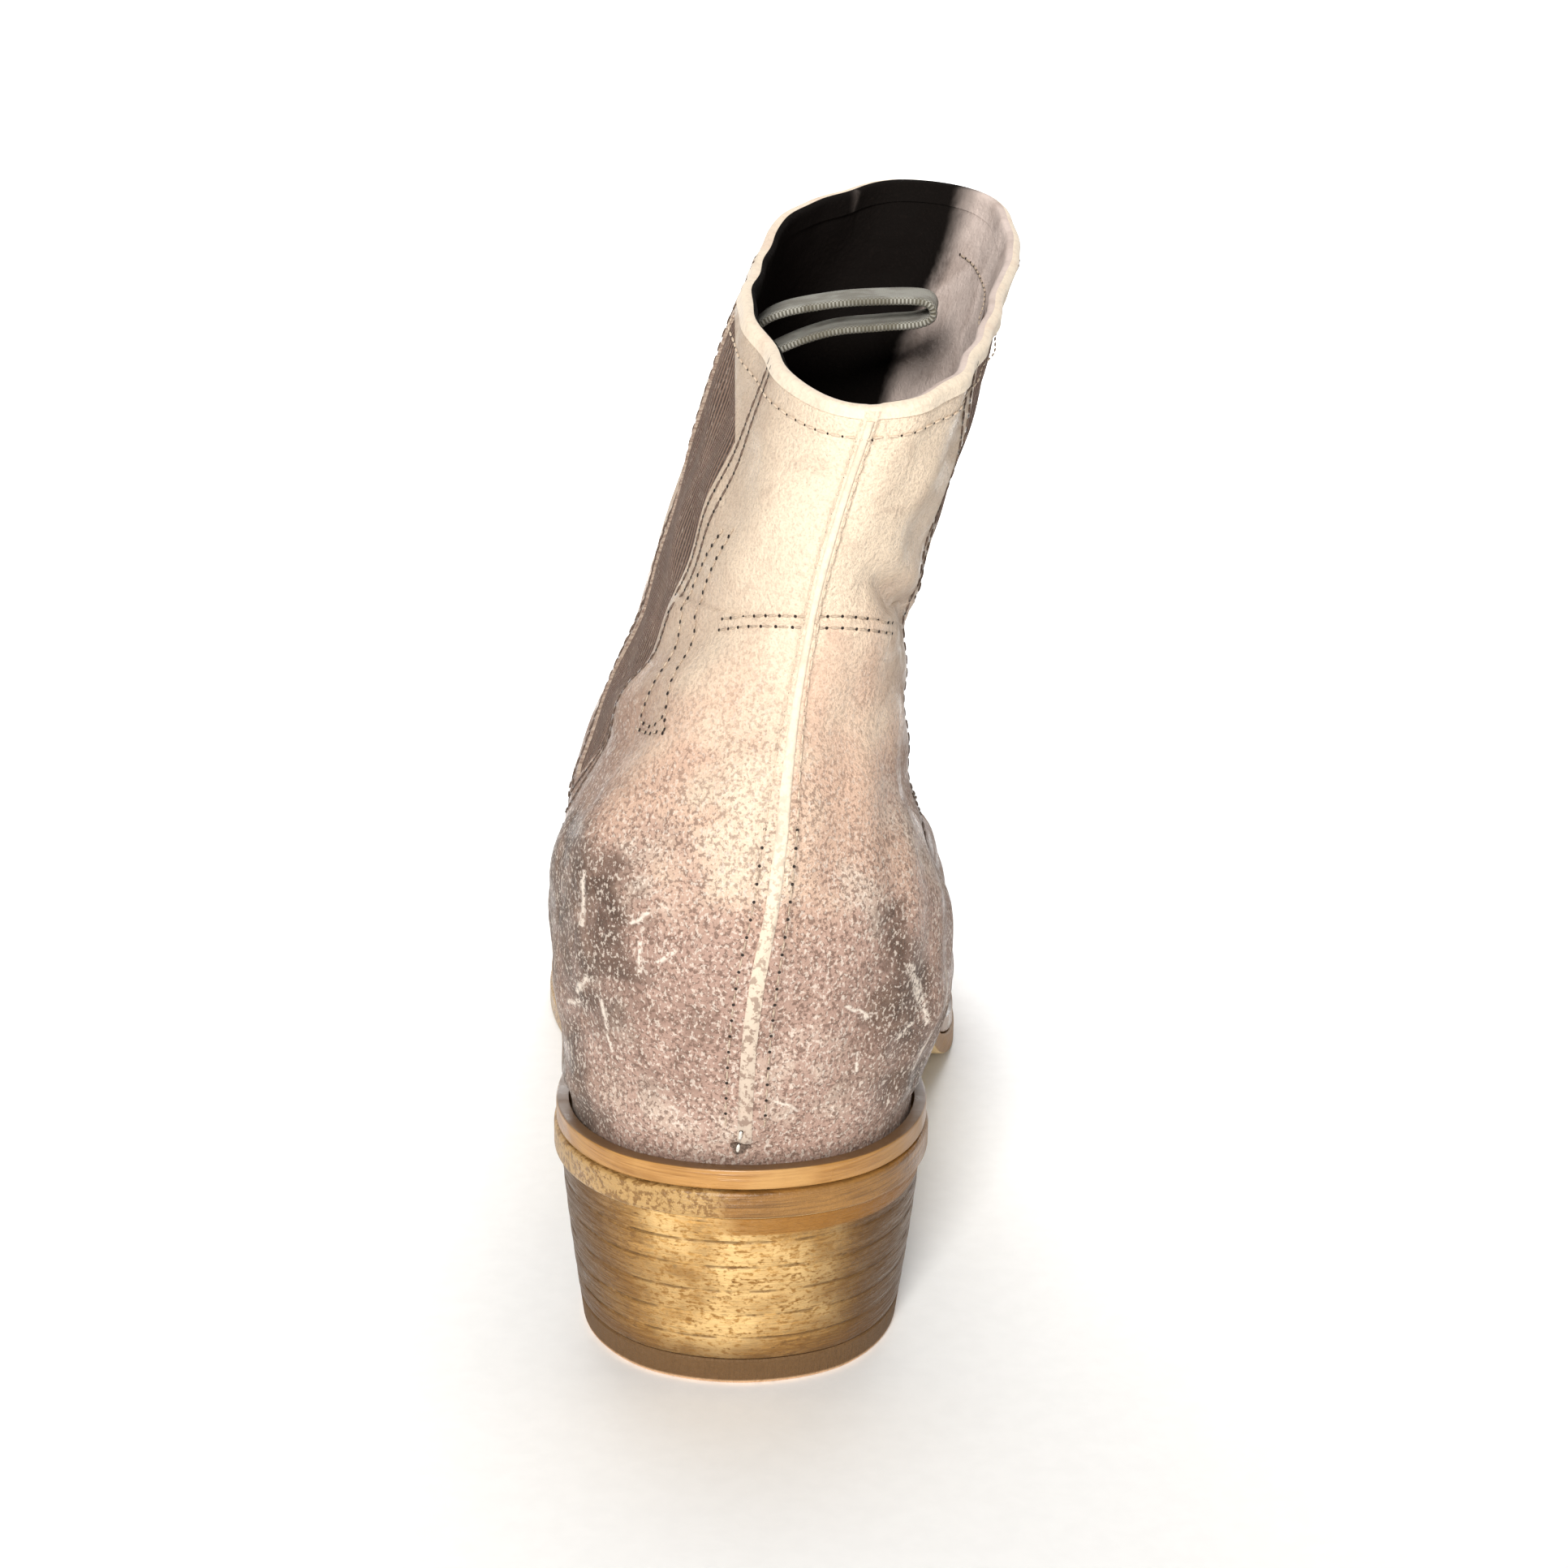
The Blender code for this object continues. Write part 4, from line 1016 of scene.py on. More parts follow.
for side in (1, -1):
    shell = cut(shell, gore_cutter(side, 0.0, 2), "DIFFERENCE")
shell.name = "upper_suede"
shell.data.set_sharp_from_angle(angle=math.radians(55.0))
worn(shell, "upper_suede", "upper")

# %% [markdown]
# ## Gores
# Each gore is a panel of elastic webbing set a little below the suede. Elastic has upright
# ribs about a millimetre apart, and with age it gets a grey bloom and loose lint. The panel
# is a fine sheet with thickness that follows the same creases as the wall. Its ribs follow
# the leaning middle line of the gore, which a UV map holds.

# %% Finish of the elastic


def elastic_finish():
    elastic = Finish("gore_elastic", roughness=0.85, specular=0.2)
    rib, weft = elastic.weave()
    knit = elastic.both(rib, elastic.math("ADD", 0.75, elastic.both(weft, 0.25)))
    lint = elastic.noise(0.0012, 2.0, 0.75)
    bloom = elastic.noise(0.010, 3.0, 0.6)
    colour = elastic.mix(elastic.above(knit, -0.8, 0.9), (0.058, 0.034, 0.024),
                         (0.250, 0.158, 0.116))
    colour = elastic.mix(elastic.above(bloom, 0.45, 0.70, 0.50), colour, (0.27, 0.175, 0.130))
    colour = elastic.mix(elastic.above(lint, 0.58, 0.68, 0.40), colour, (0.46, 0.37, 0.30))
    elastic.relief((knit, 0.00028), (lint, 0.0002))
    return elastic.finish(colour, Sheen_Weight=0.08, Sheen_Roughness=0.6,
                          Sheen_Tint=(0.9, 0.7, 0.6))


ELASTIC = elastic_finish()
RIB_PITCH, WEFT_PITCH = 0.0011, 0.0009
PANEL_TURNS, PANEL_LEVELS = (0.45, 1.75, 90), (0.40, 0.9985, 96)

# %% Elastic panels


def gore_panel(name, side):
    """Elastic sheet with thickness, cut to the gore's outline."""
    turn = np.linspace(*PANEL_TURNS)
    turn = turn if side > 0 else 2 * math.pi - turn
    level = np.linspace(*PANEL_LEVELS)
    faces_of = [upper_skin(turn[None, :], level[:, None], depth)
                for depth in (GORE_RECESS, GORE_RECESS + GORE_THICK)]
    rows, cols = faces_of[0].shape[:2]
    base = rows * cols
    faces = []
    for r in range(rows - 1):
        for c in range(cols - 1):
            a = r * cols + c
            faces.append((a, a + 1, a + cols + 1, a + cols))
            faces.append((base + a, base + a + cols, base + a + cols + 1, base + a + 1))
    border = ([c for c in range(cols)] + [r * cols + cols - 1 for r in range(1, rows)]
              + [(rows - 1) * cols + c for c in range(cols - 2, -1, -1)]
              + [r * cols for r in range(rows - 2, 0, -1)])
    faces += [(a, base + a, base + b, b) for a, b in zip(border, border[1:] + border[:1])]
    panel = solid(name, np.concatenate([f.reshape(-1, 3) for f in faces_of]), faces, [ELASTIC])
    panel = cut(panel, gore_cutter(side, -GAP, 0), "INTERSECT")
    weave = panel.data.uv_layers.new(name="weave")
    for loop, corner in zip(panel.data.loops, weave.data):
        y, z = panel.data.vertices[loop.vertex_index].co.yz
        rise = (z - GORE_TIP_HEIGHT) / (SHAFT_HEIGHT + COLLAR_RISE - GORE_TIP_HEIGHT)
        corner.uv = ((y - GORE_Y - GORE_LEAN * rise) / RIB_PITCH, z / WEFT_PITCH)
    while len(panel.data.materials) > 1:
        panel.data.materials.pop(index=len(panel.data.materials) - 1)
    return worn(panel, "gore_elastic", name.replace("elastic", "gore"))


gore_panel("elastic_lateral", 1)
gore_panel("elastic_medial", -1)

# %% [markdown]
# ## Stitches
# A stitch row is the same small thing repeated along a seam, which is what Geometry Nodes
# are for. The tree takes a line of edges, makes it a curve, sets a point at every pitch, and
# places one thread loop and one needle hole on each. The line carries the outward direction
# of the leather as an attribute, so that every stitch lies flat on the surface. Each seam
# gives its own line, and the result is turned into a plain mesh.

# %% Finishes of the thread and of the needle holes


def thread_finish(name, colour, shade):
    thread = Finish(name, roughness=0.7, specular=0.3)
    fibre = thread.noise(0.0003, 2.0, 0.6)
    thread.relief((fibre, 0.0001))
    return thread.finish(thread.mix(thread.above(fibre, 0.35, 0.65), colour, shade))


DARK_THREAD = thread_finish("dark_thread", (0.18, 0.125, 0.095), (0.075, 0.05, 0.038))
TAN_THREAD = thread_finish("tan_thread", (0.56, 0.45, 0.34), (0.36, 0.27, 0.20))
CREAM_THREAD = thread_finish("cream_thread", (0.68, 0.55, 0.42), (0.56, 0.44, 0.33))
PALE_THREAD = thread_finish("pale_thread", (0.85, 0.82, 0.76), (0.60, 0.55, 0.48))
HOLE = thread_finish("needle_hole", (0.030, 0.019, 0.014), (0.018, 0.012, 0.009))

# %% Tree for a stitched row


def stitch_tree():
    """Geometry Nodes: thread and needle holes along a line of edges."""
    sizes = [(name, "Float") for name in ("Pitch", "Stitch length", "Thread width",
                                          "Hole width")]
    tree, given = node_tree("stitched_row", "GeometryNodeTree", [
        ("Line", "Geometry"), *sizes, ("Thread", "Material"), ("Hole", "Material")],
        ("Row", "Geometry"))
    node = partial(add_node, tree)
    curve = node("GeometryNodeMeshToCurve", {0: given["Line"]}).outputs[0]
    points = node("GeometryNodeResampleCurve", {"Curve": curve, "Length": given["Pitch"]},
                  mode="LENGTH").outputs[0]
    along = node("GeometryNodeInputTangent").outputs[0]
    outward = node("GeometryNodeInputNamedAttribute", {"Name": "outward"},
                   data_type="FLOAT_VECTOR").outputs[0]
    turned = node("FunctionNodeAlignRotationToVector", {"Vector": along}, axis="X").outputs[0]
    turned = node("FunctionNodeAlignRotationToVector", {"Rotation": turned, "Vector": outward},
                  axis="Z", pivot_axis="X").outputs[0]

    def size(x, y, z):
        return node("ShaderNodeCombineXYZ", {0: x, 1: y, 2: z}).outputs[0]

    def part_of(source, factor):
        return node("ShaderNodeMath", {0: source, 1: factor}, operation="MULTIPLY").outputs[0]

    thread = node("GeometryNodeMeshUVSphere", {"Segments": 8, "Rings": 5, "Radius": 0.5})
    thread = node("GeometryNodeTransform", {
        "Geometry": thread.outputs[0],
        "Scale": size(given["Stitch length"], given["Thread width"],
                      part_of(given["Thread width"], 0.8))}).outputs[0]
    hole = node("GeometryNodeMeshCircle", {"Vertices": 8, "Radius": 0.5}, fill_type="NGON")
    hole = node("GeometryNodeTransform", {
        "Geometry": hole.outputs[0],
        "Translation": size(part_of(given["Pitch"], 0.5), 0.0, 0.0),
        "Scale": size(given["Hole width"], given["Hole width"], 1.0)}).outputs[0]
    join = node("GeometryNodeJoinGeometry")
    for shape, finish in ((hole, given["Hole"]), (thread, given["Thread"])):
        placed = node("GeometryNodeInstanceOnPoints", {
            "Points": points, "Instance": shape, "Rotation": turned}).outputs[0]
        real = node("GeometryNodeRealizeInstances", {0: placed}).outputs[0]
        dressed = node("GeometryNodeSetMaterial", {"Geometry": real, "Material": finish})
        tree.links.new(dressed.outputs[0], join.inputs[0])
    node("NodeGroupOutput", {0: join.outputs[0]})
    return tree


STITCHES = stitch_tree()
STITCH_LIFT = 0.00012


def stitched(name, lines, thread, pitch=0.0023, length=0.0018, width=0.00050, hole=0.00062,
             slot="upper_suede"):
    """Rows of stitches along lines of (points, outward directions), as one plain mesh."""
    mesh = bpy.data.meshes.new(name + "_lines")
    points, edges, outward = [], [], []
    for line, away in lines:
        start = len(points)
        points += [tuple(p) for p in line + away * STITCH_LIFT]
        edges += [(start + i, start + i + 1) for i in range(len(line) - 1)]
        outward += [tuple(a) for a in away]
    mesh.from_pydata(points, edges, [])
    attribute = mesh.attributes.new("outward", "FLOAT_VECTOR", "POINT")
    attribute.data.foreach_set("vector", np.array(outward, np.float32).ravel())
    values = {"Pitch": pitch, "Stitch length": length, "Thread width": width,
              "Hole width": hole, "Thread": thread, "Hole": HOLE}
    return worn(grown(name, mesh, STITCHES, values), slot)


def on_upper(turn, level, steps=160):
    """Line over the upper through (turn, level) points, with its outward directions."""
    marks = np.arange(len(turn))
    at = np.linspace(0, len(turn) - 1, steps)
    turn, level = smooth(at, marks, turn), smooth(at, marks, level)
    return upper_skin(turn, level), upper_normal(turn, level)


def from_side(outline, side, steps=220):
    """Side view line of (y, z) points, laid on the upper's outer or inner side."""
    flat = np.array(outline)
    run = np.concatenate([[0.0], np.cumsum(np.linalg.norm(np.diff(flat, axis=0), axis=1))])
    at = np.linspace(0.0, run[-1], steps)
    line, away = [], []
    for y, z in zip(np.interp(at, run, flat[:, 0]), np.interp(at, run, flat[:, 1])):
        hit, normal, _, _ = skin_tree.ray_cast(Vector((side * 0.1, y, z)),
                                               Vector((-side, 0.0, 0.0)), 0.12)
        if hit is not None:
            line.append(hit)
            away.append(normal if normal.x * side > 0 else -normal)
    return np.array(line), np.array(away)


def through(places, steps=160):
    """Line over the upper through places given in millimetres, and its directions."""
    turn, level = np.array([plan_of(place) for place in places]).T
    return on_upper(turn, level, steps)


# %% Rows of the upper
FIRST_ROW, ROW_APART = 0.0014, 0.0024
gore_rows = [from_side(gore_outline(grow), side)
             for side in (1, -1) for grow in (FIRST_ROW, FIRST_ROW + ROW_APART)]
stitched("stitches_gores", gore_rows, DARK_THREAD, width=0.00042)

# a second stitched tongue behind the inner gore, with a doubled foot
tongue_rows = [
    through([(-4.2, -16.2, 135.8), (-6.6, -13.4, 130), (-8.7, -11.4, 123.8),
             (-12.5, -13.6, 112.8), (-16.0, -13.6, 106.8)]),
    through([(-2.6, -19.0, 135.8), (-5.4, -17.0, 130), (-7.4, -15.4, 123.8),
             (-10.6, -18.0, 112.8), (-12.2, -22.1, 106.7)]),
    through([(-17.3, -13.8, 104.1), (-15.0, -18.6, 104.6), (-12.2, -22.1, 106.0)], 40),
    through([(-16.7, -13.7, 105.5), (-15.0, -17.4, 105.8), (-13.2, -20.0, 107.2)], 40),
]
stitched("stitches_tongue", tongue_rows, TAN_THREAD, pitch=0.0020, length=0.0014,
         width=0.00036, hole=0.00068)

YOKE_TURNS = [0.07, 0.24, 0.42, 0.60]
YOKE_DROPS = [0.0, 0.001, 0.006, 0.016]
yoke_rows = [on_upper([side * turn for turn in YOKE_TURNS],
                      [SEAM_LEVEL + rise - drop for drop in YOKE_DROPS])
             for rise in (0.010, -0.004) for side in (1, -1)]
stitched("stitches_back_yoke", yoke_rows, TAN_THREAD, width=0.00040, hole=0.00052)

COLLAR_ROW_LEVEL, LINING_ROW_LEVEL = 0.976, 0.967
collar_row = on_upper(np.linspace(0.0, 2 * math.pi, 9), [COLLAR_ROW_LEVEL] * 9, 500)
stitched("stitches_collar", [collar_row], CREAM_THREAD, width=0.00040, hole=0.00038)

SEAM_ROW_TURN = 0.054
for name, levels, thread, hole in (
        ("low", [0.07, 0.15, 0.24, 0.33, 0.42], TAN_THREAD, 0.00052),
        ("high", [0.43, 0.55, 0.68, 0.82, 0.965], CREAM_THREAD, 0.00012)):
    stitched("stitches_back_seam_" + name,
             [on_upper([side * SEAM_ROW_TURN] * 5, levels) for side in (1, -1)], thread,
             pitch=0.0027, width=0.00030, hole=hole)

line, away = on_upper(np.linspace(0.70, 2.42, 8), [LINING_ROW_LEVEL] * 8, 240)
stitched("stitches_lining", [(line - away * (WALL + 0.0002), -away)],
         TAN_THREAD, width=0.00036, hole=0.00050, slot="lining_leather")

QUARTER_ROWS = (0.016, 0.046)
side_rows = [on_upper([side * (SIDE_SEAM_TURN - shift)] * 4, [0.06, 0.18, 0.29, 0.385])
             for side in (1, -1) for shift in QUARTER_ROWS]
stitched("stitches_quarters", side_rows, DARK_THREAD, width=0.00042)

# %% [markdown]
# ## The strip on the back seam
# A narrow strip of paler suede, 2 mm wide, covers the back seam from the welt to the collar.
# It is a thin piece laid over the ridge of the wall, with its edges tucked into the suede.
# At its foot the seam has opened to a small notch, held by two pale stitches; a thin dark
# patch paints the shadow inside it.

# %% Back strip


def pale_suede_finish():
    strip = Finish("pale_suede", roughness=0.9, specular=0.15)
    z = strip.axis("Z")
    broad = strip.noise(0.009, 3.0, 0.6, 0.4)
    speckle = strip.noise(0.0010, 2.0, 0.7)
    colour = strip.mix(strip.above(z, 0.045, 0.100), (0.52, 0.42, 0.34), (0.78, 0.655, 0.510))
    colour = strip.mix(strip.above(broad, 0.5, 0.75, 0.4), colour, ROSE)
    low = strip.less(strip.above(z, 0.060, 0.112, 0.85))
    dots = strip.both(strip.above(speckle, 0.48, 0.60, 0.75), low)
    colour = strip.mix(dots, colour, (0.22, 0.14, 0.105))
    strip.relief((speckle, 0.0002), (broad, 0.0003))
    return strip.finish(colour, Sheen_Weight=0.2, Sheen_Roughness=0.5)


PALE_SUEDE = pale_suede_finish()
STRIP_LEVELS, STRIP_HALF, STRIP_WIDENS = (0.045, 0.992, 150), 0.023, 0.009
STRIP_TUCK, STRIP_UNDER = 0.0004, 0.98
STRIP_SHAPE = [(-1.0, -0.0002), (-0.88, 0.0002), (-0.5, 0.0004), (0.0, 0.00045), (0.5, 0.0004),
               (0.88, 0.0002), (1.0, -0.0002)]


def back_strip():
    level = np.linspace(*STRIP_LEVELS)
    half = STRIP_HALF + STRIP_WIDENS * ramp(level, 0.35, 1.0)
    top = np.stack([upper_skin(share * half, level, -lift) for share, lift in STRIP_SHAPE])
    under = np.stack([upper_skin(share * half * STRIP_UNDER, level, 0.0)
                      - upper_normal(share * half, level) * STRIP_TUCK
                      for share, _ in STRIP_SHAPE[::-1]])
    rings = np.concatenate([top, under]).transpose(1, 0, 2)
    return worn(slab("back_strip", rings, [PALE_SUEDE], 60.0), "upper_suede")


back_strip()
# middle and half size round the boot and up it, and how far it stands out and goes in
NOTCH_TURN, NOTCH_LEVEL, NOTCH_DEPTHS = (-0.014, 0.024), (0.042, 0.0062), (-0.0007, 0.0004)


def seam_notch_shadow():
    """Small opening at the foot of the back seam, as a thin dark leaf-shaped patch of painted
    shadow.
    """
    around = np.linspace(0.0, 2 * math.pi, 24, endpoint=False)
    ragged = 1.0 + 0.22 * np.sin(3 * around + 0.6) + 0.12 * np.sin(5 * around)
    turn = NOTCH_TURN[0] + NOTCH_TURN[1] * ragged * np.cos(around)
    level = NOTCH_LEVEL[0] + NOTCH_LEVEL[1] * ragged * np.sin(around)
    rings = [upper_skin(turn, level, depth) for depth in NOTCH_DEPTHS]
    worn(slab("seam_notch_shadow", rings, [DARK_THREAD]), "upper_suede")


seam_notch_shadow()
bar = [on_upper([-0.018, -0.012], [0.042, 0.060], 12)]
stitched("stitches_seam_foot", [(p + n * 0.0007, n) for p, n in bar], PALE_THREAD,
         pitch=0.0020, length=0.0024, width=0.0006)

# %% [markdown]
# ## The collar's binding
# The collar is finished with a narrow folded strip that also crosses the tops of the gores.
# It is a hoop whose cross-section goes up the outside, over the rim and down the inside.

# %% Binding
BINDING_OUT, BINDING_IN, BINDING_THICK, BINDING_ROUND = 0.0011, 0.0016, 0.00022, 0.0004
BINDING_TUCK, BINDING_OUTSIDE, RIM_HEIGHT = 0.0003, 0.45, 0.16


def collar_binding():
    half, thick = WALL / 2, WALL / 2 + BINDING_THICK
    section = [(half - BINDING_TUCK, -BINDING_OUT), (half + BINDING_TUCK, -BINDING_OUT),
               (thick, -BINDING_OUT + BINDING_ROUND), (thick, -BINDING_ROUND)]
    section += [(thick * math.cos(a), (thick - BINDING_ROUND) * math.sin(a))
                for a in np.linspace(0.2, math.pi - 0.2, 8)]
    section += [(-thick, -BINDING_ROUND), (-thick, -BINDING_IN + BINDING_ROUND),
                (-half - BINDING_TUCK, -BINDING_IN), (-half + BINDING_TUCK, -BINDING_IN)]
    rings = []
    for out, rise in section:
        level = 1.0 + min(rise, 0.0) / RIM_HEIGHT
        centre = (upper_skin(upper_turns, level) + upper_skin(upper_turns, level, WALL)) / 2
        rings.append(centre + upper_normal(upper_turns, level) * out
                     + collar_up * max(rise, 0.0))
    binding = hoop("collar_binding", rings, [PALE_SUEDE, LINING], 60.0)
    for face in binding.data.polygons:
        face.material_index = int(face.index // columns > len(rings) * BINDING_OUTSIDE)
    return worn(binding, "upper_suede")


collar_binding()

# %% [markdown]
# ## Sole, welt and heel
# Leather soles are cut, trimmed and burnished: the edges are waxed orange-brown, the
# underside is natural tan and scratched. The heel is a stack of leather lifts, whose cut
# edges show as thin dark lines between fibrous golden bands, on a rubber wearing lift. The
# fine pieces here have the solids' places and sizes, with rounder edges and finer outlines.

# %% Finishes of the sole and of the heel
SCRATCH_TURNS = (-1.15, -0.55, 0.1, 0.5, 0.95, 1.5)


def sole_finish():
    sole = Finish("sole_leather", roughness=0.5, specular=0.4)
    x, y = sole.axis("X"), sole.axis("Y")
    broad = sole.noise(0.030, 3.0, 0.6, 0.5)
    grain = sole.noise(0.0009, 3.0, 0.65)
    fibres = sole.noise((0.010, 0.010, 0.0004), 3.0, 0.6, 0.6)
    cuts = []
    for turn in SCRATCH_TURNS:
        turned = sole.stretched((1.0, 1.0, 1.0), (0.0, 0.0, turn))
        lines = sole.noise((0.0009, 0.045, 0.045), 1.0, 0.5, 0.35, place=turned)
        spread = sole.noise(0.011 + 0.002 * turn, 2.0)
        cuts.append(sole.both(sole.above(lines, 0.655, 0.675), sole.above(spread, 0.47, 0.52)))
    under = sole.above(sole.math("MULTIPLY", sole.facing_up(), -1.0), 0.55, 0.85)
    edge = sole.mix(sole.above(fibres, 0.35, 0.7), (0.30, 0.140, 0.032), (0.13, 0.056, 0.012))
    edge = sole.mix(sole.above(broad, 0.42, 0.7, 0.4), edge, (0.38, 0.200, 0.058))
    flecks = sole.noise(0.0010, 2.0, 0.7)
    left = sole.less(sole.above(x, -0.006, -0.001))
    tan = sole.mix(sole.above(flecks, 0.46, 0.60), (0.50, 0.310, 0.118), (0.24, 0.125, 0.036))
    edge = sole.mix(sole.both(left, 0.85), edge, tan)
    bottom = sole.mix(sole.above(broad, 0.35, 0.7, 0.6), (0.88, 0.67, 0.35),
                      (0.74, 0.51, 0.24))
    bottom = sole.mix(sole.above(grain, 0.5, 0.8, 0.2), bottom, (0.50, 0.32, 0.14))
    forefoot = sole.above(y, 0.075, 0.115)
    scratched = sole.both(sole.most(*cuts), forefoot)
    bottom = sole.mix(sole.both(scratched, 0.75), bottom, (0.30, 0.17, 0.075))
    worn_ball = sole.patch((0.004, 0.118, 0.0), (0.002, 0.145, 0.0), 0.045, 0.1)
    bottom = sole.mix(sole.both(worn_ball, 0.22), bottom, (0.42, 0.25, 0.11))
    toe_burn = sole.above(y, 0.170, 0.214, 0.70)
    bottom = sole.mix(toe_burn, bottom, (0.22, 0.115, 0.04))
    colour = sole.mix(under, edge, bottom)
    height = sole.less(sole.both(scratched, under))
    sole.relief((grain, 0.0002), (fibres, 0.0002), (height, 0.0002))
    return sole.finish(colour, sole.above(broad, 0.0, 1.0, 0.85), Coat_Weight=0.12,
                       Coat_Roughness=0.35)


def welt_finish():
    welt = Finish("welt_leather", roughness=0.45, specular=0.4)
    x = welt.axis("X")
    fibres = welt.noise((0.012, 0.012, 0.0005), 3.0, 0.6, 0.5)
    broad = welt.noise(0.012, 3.0, 0.55, 0.4)
    colour = welt.mix(welt.above(fibres, 0.35, 0.7), (0.47, 0.238, 0.068), (0.32, 0.145, 0.032))
    colour = welt.mix(welt.above(broad, 0.45, 0.7, 0.6), colour, (0.55, 0.315, 0.110))
    # Painted shade: the band darkens towards the outer side and towards its ends, where it turns
    # away from the light.
    colour = welt.mix(welt.above(x, 0.004, 0.030, 0.50), colour, (0.26, 0.12, 0.025))
    colour = welt.mix(welt.above(welt.math("ABSOLUTE", x), 0.024, 0.034, 0.50), colour,
                      (0.15, 0.065, 0.015))
    # Painted shadow: the top face, in the joint under the upper, is darkened to a thin shadow line.
    colour = welt.mix(welt.above(welt.facing_up(), 0.55, 0.90, 0.85), colour, (0.110, 0.058, 0.028))
    welt.relief((fibres, 0.00018), (broad, 0.0003))
    return welt.finish(colour, welt.above(broad, 0.0, 1.0, 0.8), Coat_Weight=0.2,
                       Coat_Roughness=0.3)


LIFT_FLAT = TOP_LIFT_THICK / HEEL_HEIGHT
LIFT_PITCH = (1 - LIFT_FLAT) / HEEL_LIFTS


def stack_finish():
    stack = Finish("stacked_leather", roughness=0.5, specular=0.25)
    share = stack.add("ShaderNodeAttribute", attribute_name="lift").outputs["Fac"]
    x, y = stack.axis("X"), stack.axis("Y")
    wave = stack.noise(0.010, 2.0, 0.5)
    layer = stack.math("ADD", share, stack.both(stack.math("SUBTRACT", wave, 0.5), 0.010))
    place = stack.add("ShaderNodeCombineXYZ", {
        0: x, 1: y, 2: stack.both(layer, HEEL_HEIGHT)}).outputs[0]
    fibres = stack.noise((0.0065, 0.0065, 0.00042), 4.0, 0.65, 0.4, place=place)
    bands = stack.noise((0.060, 0.060, 0.0034), 1.0, 0.4, place=place)
    pits = stack.noise((0.0022, 0.0022, 0.00075), 2.0, 0.7, place=place)
    broad = stack.noise(0.016, 3.0, 0.55, 0.5)
    flecks = stack.noise((0.0011, 0.0011, 0.0007), 2.0, 0.65, place=place)
    colour = stack.mix(stack.above(fibres, 0.34, 0.66), (0.52, 0.285, 0.082),
                       (0.27, 0.128, 0.026))
    colour = stack.mix(stack.above(bands, 0.42, 0.64, 0.50), colour, (0.20, 0.088, 0.015))
    colour = stack.mix(stack.above(flecks, 0.50, 0.62, 0.60), colour, (0.17, 0.074, 0.013))
    colour = stack.mix(stack.above(pits, 0.63, 0.72, 0.60), colour, (0.09, 0.042, 0.010))
    # Painted highlight: a pale golden patch at the middle of the heel's back, where it faces the
    # light.
    painted_highlight = stack.patch((-0.004, -0.034, 0.012), (0.001, -0.034, 0.025), 0.022, 0.02)
    pale = stack.both(painted_highlight, stack.above(flecks, 0.34, 0.54, 0.90))
    pale = stack.both(pale, stack.above(fibres, 0.18, 0.42))
    colour = stack.mix(pale, colour, (0.77, 0.520, 0.225))
    joint = stack.math("SUBTRACT", layer, LIFT_FLAT)
    joint = stack.math("PINGPONG", stack.math("DIVIDE", joint, LIFT_PITCH), 0.5)
    line = stack.less(stack.above(joint, 0.010, 0.075))
    line = stack.both(line, stack.above(stack.noise(0.006, 3.0, 0.7), 0.40, 0.56))
    colour = stack.mix(stack.both(line, 0.72), colour, (0.13, 0.06, 0.014))
    # Darker towards the heel's sides: partly a darker burnish, partly painted shade where the sides
    # turn away from the light.
    side = stack.above(stack.math("ABSOLUTE", stack.math("ADD", x, 0.003)), 0.007, 0.025, 0.90)
    colour = stack.mix(side, colour, (0.088, 0.038, 0.006))
    foot = stack.less(stack.above(share, 0.16, 0.36))
    colour = stack.mix(stack.both(foot, 0.65), colour, (0.13, 0.058, 0.013))
    band = stack.both(stack.above(layer, 0.895, 0.910), stack.above(x, -0.006, 0.0, 0.85))
    colour = stack.mix(band, colour, (0.27, 0.115, 0.018))
    stack.relief((stack.less(line), 0.00018), (fibres, 0.00022), (pits, 0.0002))
    return stack.finish(colour, stack.above(fibres, 0.0, 1.0, 0.90), Coat_Weight=0.08,
                        Coat_Roughness=0.40)


def top_lift_finish():
    rubber = Finish("top_lift_rubber", roughness=0.7, specular=0.35)
    z = rubber.axis("Z")
    grain = rubber.noise(0.0008, 3.0, 0.7)
    scrape = rubber.noise((0.0008, 0.010, 0.010), 3.0, 0.7, 1.6)
    dirt = rubber.noise(0.010, 4.0, 0.6)
    colour = rubber.mix(rubber.above(grain, 0.4, 0.7), (0.84, 0.54, 0.32), (0.66, 0.40, 0.22))
    colour = rubber.mix(rubber.above(dirt, 0.45, 0.7, 0.4), colour, (0.52, 0.31, 0.16))
    colour = rubber.mix(rubber.above(scrape, 0.60, 0.70, 0.3), colour, (0.86, 0.62, 0.42))
    colour = rubber.mix(rubber.above(z, 0.0003, 0.0010, 0.94), colour, (0.105, 0.050, 0.012))
    rubber.relief((grain, 0.0002), (scrape, 0.0002))
    return rubber.finish(colour)


SOLE_LEATHER = sole_finish()
WELT_LEATHER = welt_finish()
STACKED_LEATHER = stack_finish()
TOP_LIFT_RUBBER = top_lift_finish()

# %% Outsole and welt
EDGE_ROUND = np.linspace(0.0, math.pi / 2, 5)


def lifted(plan, height):
    """Points over a plan, at height(y)."""
    return np.column_stack([plan, height(plan[:, 1])])


def fine_turns(half_stations):
    return np.linspace(0.0, 2 * math.pi, 2 * half_stations, endpoint=False)


